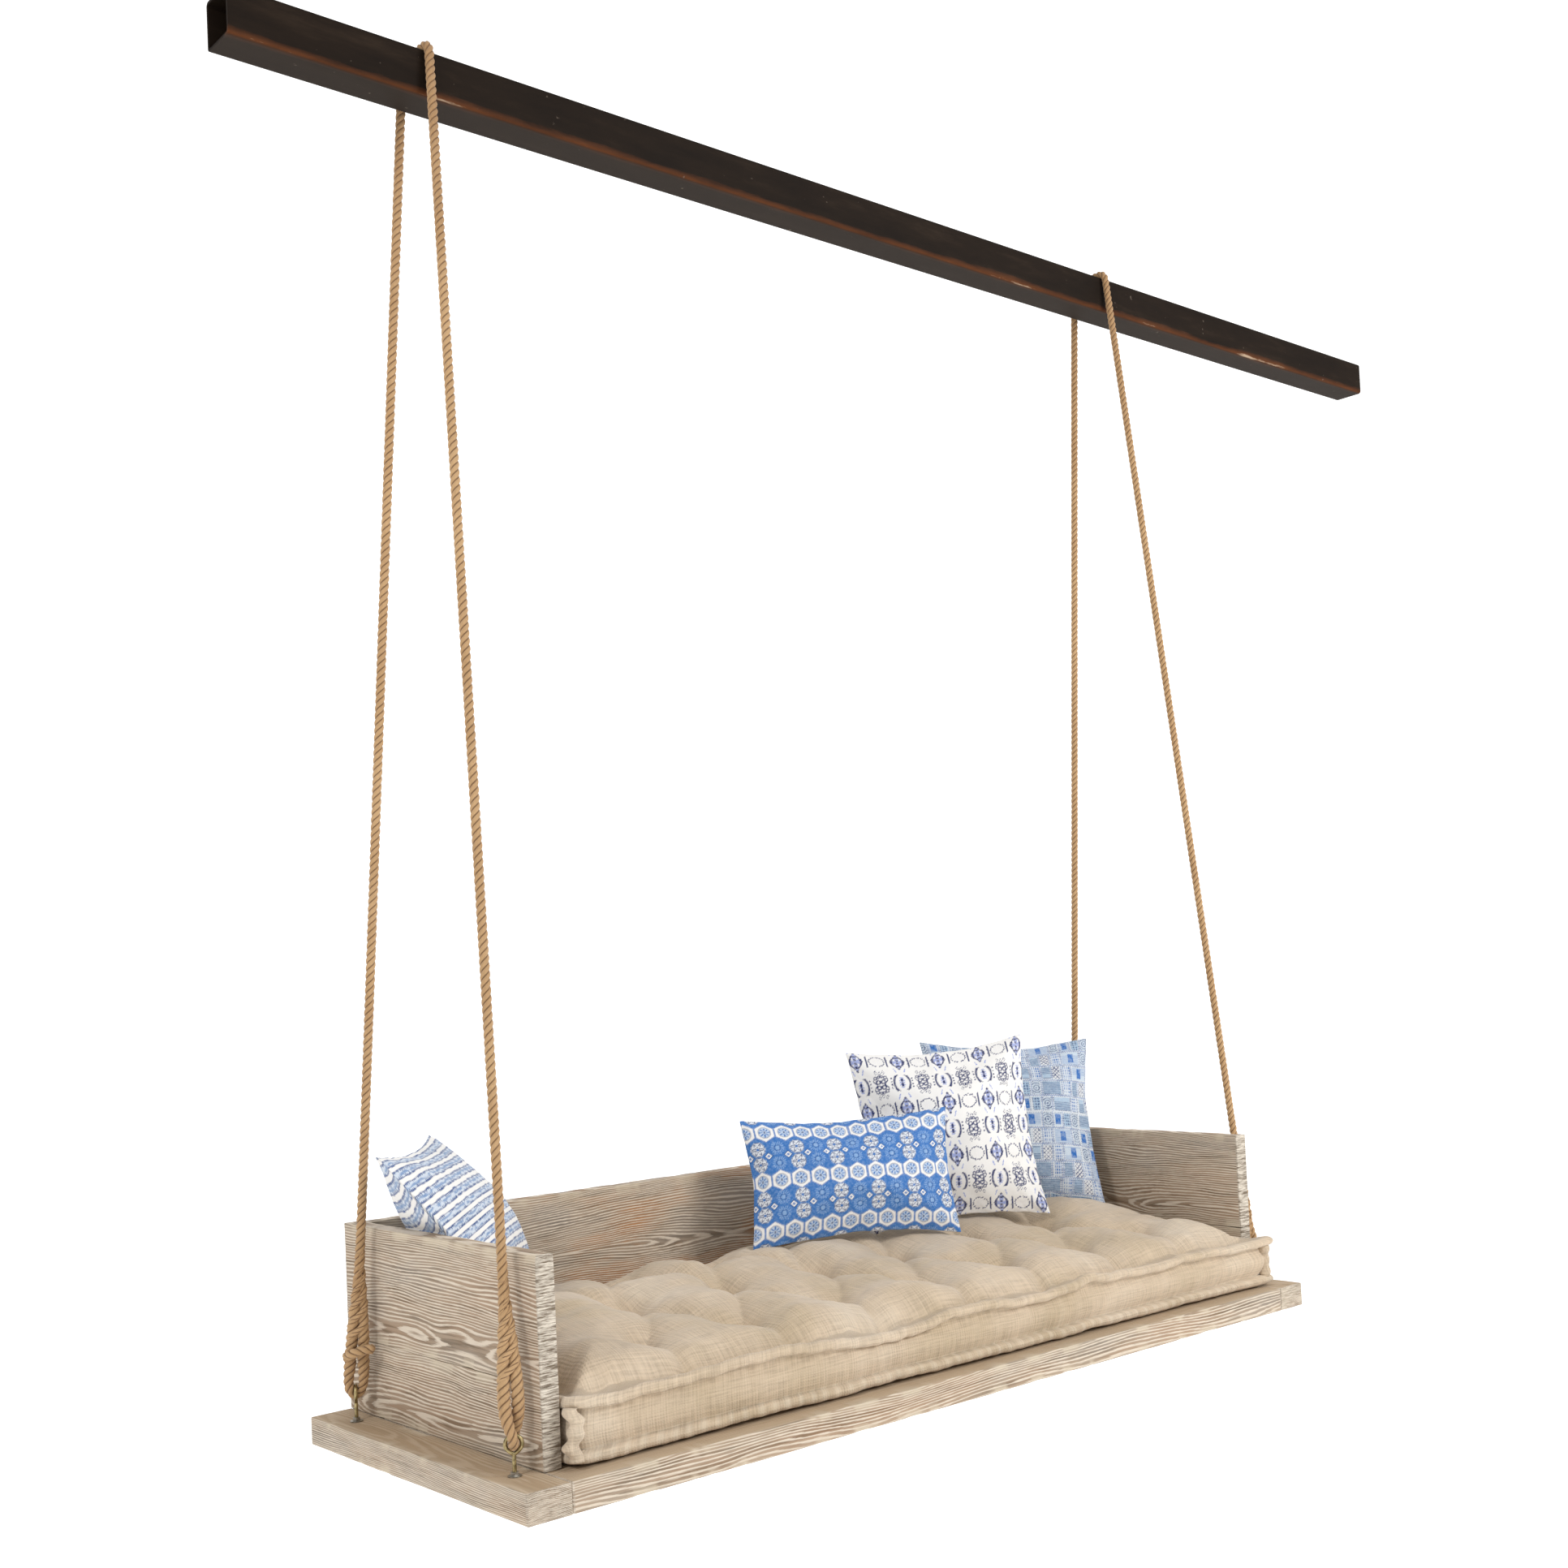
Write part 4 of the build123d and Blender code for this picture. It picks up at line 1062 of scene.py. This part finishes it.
def tile_print(u, v):
    """Hexagon tiles 47 mm across in rows of white medallions, and between the rows a blue band 70 mm
    deep where starbursts alternate with navy ornaments on white, mirrored about the band's middle."""
    pitch, rise = 0.047, 0.047 * math.sqrt(3) / 2
    best = None
    for shift in (0, 1):
        row = np.floor(v / rise) + shift
        along = u - np.where(row % 2 == 0, 0.0, pitch / 2)
        dx, dy = along - np.round(along / pitch) * pitch, v - row * rise
        new = (np.hypot(dx, dy), dx, dy, row)
        best = new if best is None else tuple(np.where(new[0] < best[0], a, b) for a, b in zip(new, best))
    gap, dx, dy, row = best
    edge = np.maximum(np.abs(dx), np.abs(dx) / 2 + np.abs(dy) * 0.866) / (pitch / 2)
    ring, petals = gap / (pitch / 2), np.cos(8 * np.arctan2(dy, dx))
    pale = row % 3 == 0
    # White tiles, each with a ringed medallion of blue petals.
    dark = pale * (line_of(ring - 0.62, 0.10, 0.03) * 0.6 + (ring < 0.12) * 0.8)
    petals = (petals > 0.0) * (ring > 0.22) * (ring < 0.54)
    mid = pale * np.maximum(line_of(edge - 0.95, 0.12, 0.02), petals) * 0.9
    light = pale * (ring < 0.60) * 0.55
    # The band between the rows: starbursts at ub = 0 and ornaments at ub = pitch, 19 mm off its middle.
    band = ~pale
    vb = np.abs(v - (np.floor(v / (3 * rise)) + 0.5) * 3 * rise)
    ub = np.abs(u - np.round(u / (2 * pitch)) * 2 * pitch)
    star, rays = np.hypot(ub, vb - 0.019), np.arctan2(vb - 0.019, ub)
    bloom, turn = np.hypot(pitch - ub, vb - 0.019), np.arctan2(vb - 0.019, pitch - ub)
    burst = (np.cos(18 * rays) > 0.1) * (star > 0.008) * (star < 0.017)
    mid = np.where(band, 0.92 - 0.55 * burst - 0.6 * (star < 0.0055), mid)
    light = np.where(band, 0.85, light)
    dark = np.where(band, line_of(star - 0.0072, 0.0016) * 0.6, dark)
    white = band & (bloom < 0.0185)
    curls = line_of(bloom - 0.0095 - 0.0045 * np.cos(6 * turn), 0.0034)
    mid = np.where(white, 0.25 * (bloom > 0.0165) + (bloom < 0.0035), mid)
    light = np.where(white, 0.25, light)
    dark = np.where(white, np.maximum(curls, line_of(bloom - 0.0170, 0.0014)) * 0.95, dark)
    gem = np.abs(ub - pitch / 2) / 0.0085 + vb / 0.0085
    mid = np.where(band & (gem < 1), (gem < 0.45) * 0.9, mid)
    light = np.where(band & (gem < 1), 0.0, light)
    dark = np.where(band & (gem < 1.25), line_of(gem - 1.1, 0.22, 0.05) * 0.8, dark)
    ink = ink_sheet(len(u))
    ink[:, 0], ink[:, 1], ink[:, 2] = dark, mid, light
    return ink


def damask_print(u, v):
    """Navy damask: columns every 110 mm where ringed and solid medallions alternate, 140 mm apart, with
    knots of scrolls and arches of dots between the columns and the ragged edges of resist-dyed yarn."""
    place = np.column_stack([u, v])
    v = v + 0.0012 * np.sign(ripple(place * (1, 0.05), 0.006, 41, 1)) * np.abs(ripple(place, 0.05, 42, 1))
    wide, tall = 0.110, 0.140
    x = np.abs(u - np.round(u / wide) * wide)
    y = np.abs(v - np.round(v / tall) * tall)
    far, low = wide / 2 - x, tall / 2 - y
    bracket = np.hypot(x / 0.0205, y / 0.0290)
    dark = line_of(bracket - 1.0, 0.26, 0.05) * (y < 0.0235)
    dark = np.maximum(dark, np.hypot(x / 0.0035, (y - 0.0065) / 0.0060) < 1)
    mid = 0.75 * (np.hypot(x / 0.0080, y / 0.0180) < 1) * (np.cos(y * 900) > -0.2)
    # Small points on the brackets' backs.
    dark = np.maximum(dark, (np.hypot(x - 0.0270, y % 0.0090 - 0.0045) < 0.0022) * (y < 0.018))
    # Solid medallion: a thick ogee outline, spotted inside.
    ogee = x / (0.0195 * (0.55 + 0.45 * np.cos(np.clip(low / 0.030, 0, 1) * np.pi)) + 1e-6)
    solid = (ogee < 1) & (low < 0.030)
    dark = np.where(solid, (ogee > 0.66) | (np.hypot(x, low % 0.0105 - 0.005) < 0.0031), dark)
    dark = np.maximum(dark, solid * (np.abs(low - 0.0165) < 0.0020))
    mid = np.where(solid & (dark < 0.5), 0.85, mid)
    paper = solid & (np.hypot((x - 0.0070) / 0.0022, (low - 0.0085) / 0.0045) < 1)
    dark, mid = np.where(paper, 0, dark), np.where(paper, 0, mid)
    # Spears beside it, and wisps above.
    spear = np.abs(x - 0.0290) / 0.0032 + np.abs(low - 0.0060) / 0.0190
    dark = np.maximum(dark, spear < 1)
    wisp = np.abs(x - 0.012 - 0.35 * (y - 0.036)) < 0.0014
    mid = np.maximum(mid, wisp * (y > 0.032) * (y < 0.046) * 0.9)
    # Knots of scrolls between the rings.
    for cx, cy, reach, width in ((0.0065, 0.0075, 0.0050, 0.0034), (0.0125, 0.0185, 0.0038, 0.0030),
                                 (0.0035, 0.0220, 0.0030, 0.0026)):
        dark = np.maximum(dark, line_of(np.hypot(far - cx, y - cy) - reach, width))
    stem = np.abs(far - 0.0145 + 0.004 * np.cos(y * 260)) < 0.0014
    dark = np.maximum(dark, stem * (y < 0.016))
    for cx, cy in ((0.0100, 0.0335), (0.0, 0.0305)):
        lozenge = np.abs(far - cx) / 0.0042 + np.abs(y - cy) / 0.0058
        dark = np.maximum(dark, line_of(lozenge - 0.85, 0.36, 0.08))
    # Arches of dots between the solid medallions.
    around = np.arctan2(low / 0.0170, far / 0.0190) * 8.6 / np.pi
    arch = np.abs(np.hypot(far / 0.0190, low / 0.0170) - 1) * 0.018
    dots = np.hypot((around % 1 - 0.5) * 0.0058, arch)
    dark = np.maximum(dark, dots < 0.0021)
    ink = ink_sheet(len(u))
    ink[:, 0] = np.clip(dark, 0, 1)
    ink[:, 1] = np.clip(mid, 0, 1)
    ink[:, 2] = 0.25 * (np.hypot(far / 0.0120, low / 0.0110) < 1) * (np.cos(far * 1600) > 0.3)
    return ink


def patch_print(u, v):
    """Patchwork: rows of unequal patches, each in one of six small patterns, edged with pale dots."""
    place = np.column_stack([u, v])
    tall, broad = 0.046, 0.062
    row = np.floor((v + 0.4) / tall)
    dy = (v + 0.4) / tall - row
    offset = (row * 0.43) % 1.0
    column = np.floor((u + 0.4) / broad + offset)
    dx = (u + 0.4) / broad + offset - column
    # Two in three patches are split in two along their length.
    split = (row + column) % 3 > 0
    half = np.floor(dx * 2)
    dx = np.where(split, dx * 2 - half, dx)
    style = (column * 7 + row * 13 + np.where(split, half * 5, 0)) % 6
    wide = np.where(split, broad / 2, broad)
    x, y = dx * wide, dy * tall
    lines = (y / 0.0042) % 1.0
    weave = (x / 0.0060) % 1.0
    cross = np.minimum(np.abs((x + y) / 0.011 % 1.0 - 0.5), np.abs((x - y) / 0.011 % 1.0 - 0.5))
    solid = (np.abs(x - wide / 2) < 0.0085) & (np.abs(y - tall / 2) < 0.0135)
    rings = np.hypot(x - wide / 2, y - tall / 2)
    dots = np.hypot(x % 0.008 - 0.004, y % 0.008 - 0.004)
    # Dark, mid and light ink of each pattern.
    bare = np.zeros(len(u))
    patterns = (
        ((lines < 0.42) * 0.8, bare, bare + 0.7),
        (bare, (weave < 0.5) * ((y / 0.009) % 1.0 < 0.7) * 0.95, bare + 0.35),
        ((cross < 0.13) * 0.95, bare, bare + 0.15),
        (bare, np.where(solid, 1.0, 0.5 * (lines < 0.4)), bare + 0.5),
        (((rings / 0.0066) % 1.0 < 0.42) * (rings < 0.026) * 0.85, bare, bare + 0.5),
        ((dots < 0.0028) * 0.85, bare, bare + 0.75),
    )
    dark, mid, light = (np.choose(style.astype(int), inks) for inks in zip(*patterns))
    rim = np.minimum(np.minimum(x, wide - x), np.minimum(y, tall - y))
    beads = np.where(np.minimum(x, wide - x) < np.minimum(y, tall - y), y, x) % 0.0062 < 0.0030
    edge = rim < 0.0042
    dark = np.where(edge, beads * (np.abs(rim - 0.0024) < 0.0012) * 0.8, dark)
    mid = np.where(edge, (rim < 0.0010) * 0.7, mid)
    light = np.where(edge, 0.30, light)
    worn = 0.75 + 0.25 * (ripple(place, 0.02, 51, 2) > -0.2)
    ink = ink_sheet(len(u))
    ink[:, 0], ink[:, 1], ink[:, 2] = dark * worn, mid * worn, light
    return ink


def stripe_print(u, v):
    """Woven stripes every 31 mm: dark line, a row of ticks, fine lines, ticks and a dark line again."""
    place = np.column_stack([u, v])
    v = v + 0.0006 * ripple(place, 0.03, 61, 2)
    y = (v % 0.0315) - 0.01575
    band = np.abs(y)
    ink = ink_sheet(len(u))
    dark = line_of(band - 0.0090, 0.0030)
    tick = ((u + 0.5 * y) % 0.0046 < 0.0021) & (band > 0.0040) & (band < 0.0080)
    breaks = ripple(place * (1, 0.3), 0.022, 62, 2) > -0.55
    dark = np.maximum(dark, tick * 0.95 * breaks)
    mid = np.maximum(line_of(band - 0.0024, 0.0012), line_of(band, 0.0011)) * 0.85
    light = (band < 0.0082) * 0.50
    ink[:, 0], ink[:, 1], ink[:, 2] = dark * (0.7 + 0.3 * breaks), mid, light
    return ink


def pillow_turn(yaw, tilt, roll):
    """Rotation of a pillow: face to the front, then rolled, tilted back and turned about the vertical."""
    spin = Matrix.Rotation(math.radians(yaw), 4, "Z") @ Matrix.Rotation(math.radians(-tilt), 4, "X")
    return spin @ Matrix.Rotation(math.radians(roll), 4, "Y") @ Matrix.Rotation(math.radians(90), 4, "X")


# Centre, yaw, tilt and roll in degrees, width, height, and print.
PILLOWS = {
    "lumbar_pillow": ((0.105, 0.128, -2.181), -24.0, 17.0, 0.4, 0.502, 0.302, tile_print),
    "ikat_pillow": ((0.447, 0.165, -2.116), -30.2, 14.8, -2.5, 0.456, 0.456, damask_print),
    "patchwork_pillow": ((0.722, 0.213, -2.123), -30.0, 20.4, 2.3, 0.455, 0.455, patch_print),
    "striped_pillow": ((-0.814, 0.182, -2.171), 49.4, 40.0, 0.0, 0.440, 0.440, stripe_print),
}
# Material slot, and light, mid and dark ink.
INKS = {
    "lumbar_pillow": ("blue_tile_print", "#7CABDA", "#2767B0", "#18336A"),
    "ikat_pillow": ("navy_damask_print", "#D9D6E0", "#7D8FCE", "#1F2C60"),
    "patchwork_pillow": ("patchwork_print", "#78A3C6", "#2464AE", "#1D3870"),
    "striped_pillow": ("blue_stripe_print", "#9DB8D6", "#527BAE", "#274A84"),
}


def slouched(points, width, height):
    """A pillow that has slid down: its foot is shorter and bends under, and its back is swollen near
    one side. The swell is a product of two parabolas, and the bend grows with the square of the depth."""
    u, v = points[:, 0] / width * 2, points[:, 1] / height * 2
    foot = np.clip(0.25 - v, 0, None) / 1.25
    swollen = np.clip(1 - ((u + 0.45) / 0.62) ** 2, 0, 1) * np.clip(1 - (v + 0.1) ** 2, 0, 1)
    points[:, 2] -= 0.050 * swollen * (points[:, 2] < 0.002)
    points[:, 1] += 0.050 * foot
    points[:, 2] -= 0.050 * foot ** 2
    return points


def stuffed_case(name, material, width, height, swell):
    """A sewn case inflated as cloth, fitted to width, height and swell, and subdivided twice.

    The cloth keeps its thickness and creases, and its outline is let out most of the way to the flat
    rectangle's, which curves in by 3.5% of the width and 6% of the height between its corners.
    """
    # The case is cut larger than the pillow, since stuffing draws it in.
    cut = 1.06
    columns = 57 if width < 0.48 else 63
    rows = 57 if height > 0.4 else 39
    points, faces, cloth = sewn_envelope(width * cut, height * cut, columns, rows, swell * 0.45)
    points[:, 2] += 0.0007 * ripple(points[:, :2], 0.05, len(name), 2)
    piece = build(f"{name}_case", points, faces, material, None, {"cloth": cloth})
    inflated(piece, 5.5, 22)
    points = read_points(piece.data)
    points -= (points.max(0) + points.min(0)) / 2
    points *= np.array([width, height, swell]) / (points.max(0) - points.min(0))
    laid = cloth[:, :2] / cut
    bow = 1 - np.array([0.035, 0.060]) * (1 - (2 * laid[:, ::-1] / np.array([height, width])) ** 2)
    points[:, :2] += (laid * bow - points[:, :2]) * 0.80
    piece.data.vertices.foreach_set("co", points.astype(np.float32).ravel())
    finer = piece.modifiers.new("finer", "SUBSURF")
    finer.levels = finer.render_levels = 2
    mesh = taken_mesh(piece)
    piece.modifiers.clear()
    piece.data = mesh
    return piece


def make_pillow(name, context, swell):
    """A stuffed pillow, creased from its seams, printed, and put in its place against the panels."""
    centre, yaw, tilt, roll, width, height, pattern = PILLOWS[name]
    slot, light, mid, dark = INKS[name]
    cotton = tuple(context.scene.daybed_colours.cotton)
    material = printed_cotton(f"printed cotton canvas {slot.split('_')[0]}", cotton, light, mid, dark)
    piece = stuffed_case(name, material, width, height, swell)
    mesh = piece.data
    points = read_points(mesh)
    flat = np.zeros(len(points) * 3, np.float32)
    mesh.attributes["cloth"].data.foreach_get("vector", flat)
    flat = flat.reshape(-1, 3).astype(float)
    # Fine creases that run in from the seams.
    rim = np.minimum(width / 2 - np.abs(points[:, 0]), height / 2 - np.abs(points[:, 1]))
    fold = ripple(flat[:, :2], 0.045, 70 + len(name), 3)
    points[:, 2] += np.sign(points[:, 2]) * 0.0011 * fold * np.exp(-np.clip(rim, 0, None) / 0.05)
    if name == "striped_pillow":
        points = slouched(points, width, height)
    # The back's print is shifted along, so that it isn't the front's mirror image.
    print_ink = pattern(flat[:, 0] + 0.5 * (flat[:, 2] > 0.5), flat[:, 1])
    ink = mesh.attributes.new("ink", "FLOAT_COLOR", "POINT")
    ink.data.foreach_set("color", print_ink.astype(np.float32).ravel())
    turn = np.array(pillow_turn(yaw, tilt, roll))[:3, :3]
    points = points @ turn.T + np.array(centre)
    # Where a pillow leans on the left panel it is flattened by it, and folds softly over its edge.
    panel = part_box("side_panel_left_upper")[1]
    wall = panel.x + 0.0015 - 0.7 * np.clip(points[:, 2] - panel.z - 0.002, 0, None)
    points[:, 0] = np.maximum(points[:, 0], wall)
    mesh.vertices.foreach_set("co", points.astype(np.float32).ravel())
    mesh.update()
    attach(piece, name)
    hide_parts(f"{name}_cover", f"{name}_insert")
    PILLOW_PIECES.append(piece)


class DAYBED_OT_pillows(bpy.types.Operator):
    """Sew, stuff and print the four loose pillows"""

    bl_idname = "daybed.pillows"
    bl_label = "Pillows"

    def execute(self, context):
        swell = context.scene.daybed_sizes.pillow_swell
        for name in PILLOWS:
            make_pillow(name, context, swell * (0.86 if name == "lumbar_pillow" else 0.92))
        return {"FINISHED"}


# ------------------------------------------------------------------ stage

class DAYBED_OT_stage(bpy.types.Operator):
    """Set up the floor, the light and the camera"""

    bl_idname = "daybed.stage"
    bl_label = "Stage"

    def execute(self, context):
        context.scene.view_settings.view_transform = "Standard"
        self.floor()
        self.lights(context)
        # The camera looks 43.3 degrees to the right of +Y, tipped and rolled by two or three degrees.
        data = bpy.data.cameras.new("camera")
        data.sensor_width = 36
        data.lens = 41.05
        data.shift_x, data.shift_y = -0.0960, 0.0712
        data.clip_end = 60
        camera = bpy.data.objects.new("camera", data)
        context.scene.collection.objects.link(camera)
        turn = (Matrix.Rotation(-0.75561, 4, "Z") @ Matrix.Rotation(0.03307, 4, "X")
                @ Matrix.Rotation(0.04854, 4, "Y") @ Matrix.Rotation(math.pi / 2, 4, "X"))
        camera.matrix_world = Matrix.Translation((-2.55714, -3.01838, -1.68205)) @ turn
        context.scene.camera = camera
        return {"FINISHED"}

    def floor(self):
        """A pale floor that curves up into a backdrop, as a profile carried along X."""
        material, tree = new_material("matt white studio paper")
        place = add(tree, "TexCoord").outputs["Object"]
        cloud = add(tree, "TexNoise", {"Vector": place, "Scale": 0.7}).outputs[0]
        shade = add(tree, "ValToRGB", {0: cloud}, stops=[(0.3, linear("#F6F6F5")), (0.7, linear("#FBFBFA"))])
        finish_material(tree, shade.outputs[0], None, Roughness=0.95, Specular_IOR_Level=0.0,
                        Emission_Color=(1, 1, 1, 1), Emission_Strength=0.44)
        level = -3.05
        angle = np.linspace(0, np.pi / 2, 20)
        bend = np.column_stack([7 + 4 * np.sin(angle), level + 4 * (1 - np.cos(angle))])
        profile = np.vstack([[-14, level], bend, [11, 16]])
        across = np.linspace(-22, 26, 12)
        # The sweep is turned to face along the camera's heading.
        points = np.array([[(x, y, z) for x in across] for y, z in profile]).reshape(-1, 3)
        heading = math.radians(-43.3)
        spin = np.array([[math.cos(heading), -math.sin(heading), 0],
                         [math.sin(heading), math.cos(heading), 0], [0, 0, 1]])
        mesh = bpy.data.meshes.new("floor")
        mesh.from_pydata((points @ spin.T).tolist(), [], grid_faces(len(profile), len(across)).tolist())
        mesh.shade_smooth()
        mesh.materials.append(material)
        floor = bpy.data.objects.new("floor", mesh)
        bpy.context.scene.collection.objects.link(floor)

    def lights(self, context):
        """White surroundings, a small key light from the left and a large soft one from the front."""
        world = bpy.data.worlds.new("studio")
        world.use_nodes = True
        world.node_tree.nodes["Background"].inputs[0].default_value = (1, 1, 1, 1)
        world.node_tree.nodes["Background"].inputs[1].default_value = 0.60
        context.scene.world = world
        for name, place, target, size, power in (
            ("key", (-4.0, -1.0, 0.5), (-0.2, 0.0, -2.2), 0.8, 55),
            ("front", (1.9, -4.4, 0.6), (0.2, 0.0, -2.2), 2.2, 150),
        ):
            data = bpy.data.lights.new(name, "AREA")
            data.size = size
            data.energy = power
            lamp = bpy.data.objects.new(name, data)
            context.scene.collection.objects.link(lamp)
            lamp.location = place
            lamp.rotation_mode = "QUATERNION"
            lamp.rotation_quaternion = (Vector(target) - Vector(place)).to_track_quat("-Z", "Y")


class DAYBED_PT_panel(bpy.types.Panel):
    """Sizes, colours and the build buttons"""

    bl_label = "Hanging Daybed Swing"
    bl_idname = "DAYBED_PT_panel"
    bl_space_type = "VIEW_3D"
    bl_region_type = "UI"
    bl_category = "Daybed"

    def draw(self, context):
        layout = self.layout
        for group in (context.scene.daybed_sizes, context.scene.daybed_colours):
            box = layout.box()
            for name in group.bl_rna.properties.keys():
                if name not in ("rna_type", "name"):
                    box.prop(group, name)
        for operator in OPERATORS:
            layout.operator(operator.bl_idname)


OPERATORS = (
    DAYBED_OT_stage, DAYBED_OT_ropes, DAYBED_OT_timber, DAYBED_OT_steel, DAYBED_OT_pillows,
    DAYBED_OT_mattress,
)
CLASSES = (DaybedSizes, DaybedColours, *OPERATORS, DAYBED_PT_panel)


def register():
    """Registers the classes and their settings."""
    for item in CLASSES:
        bpy.utils.register_class(item)
    bpy.types.Scene.daybed_sizes = PointerProperty(type=DaybedSizes)
    bpy.types.Scene.daybed_colours = PointerProperty(type=DaybedColours)


def unregister():
    """Removes the settings and the classes."""
    del bpy.types.Scene.daybed_sizes
    del bpy.types.Scene.daybed_colours
    for item in reversed(CLASSES):
        bpy.utils.unregister_class(item)


def main():
    """Builds everything in order."""
    register()
    bpy.ops.daybed.stage()
    bpy.ops.daybed.ropes()
    bpy.ops.daybed.timber()
    bpy.ops.daybed.steel()
    bpy.ops.daybed.pillows()
    bpy.ops.daybed.mattress()


if __name__ == "__main__":
    main()
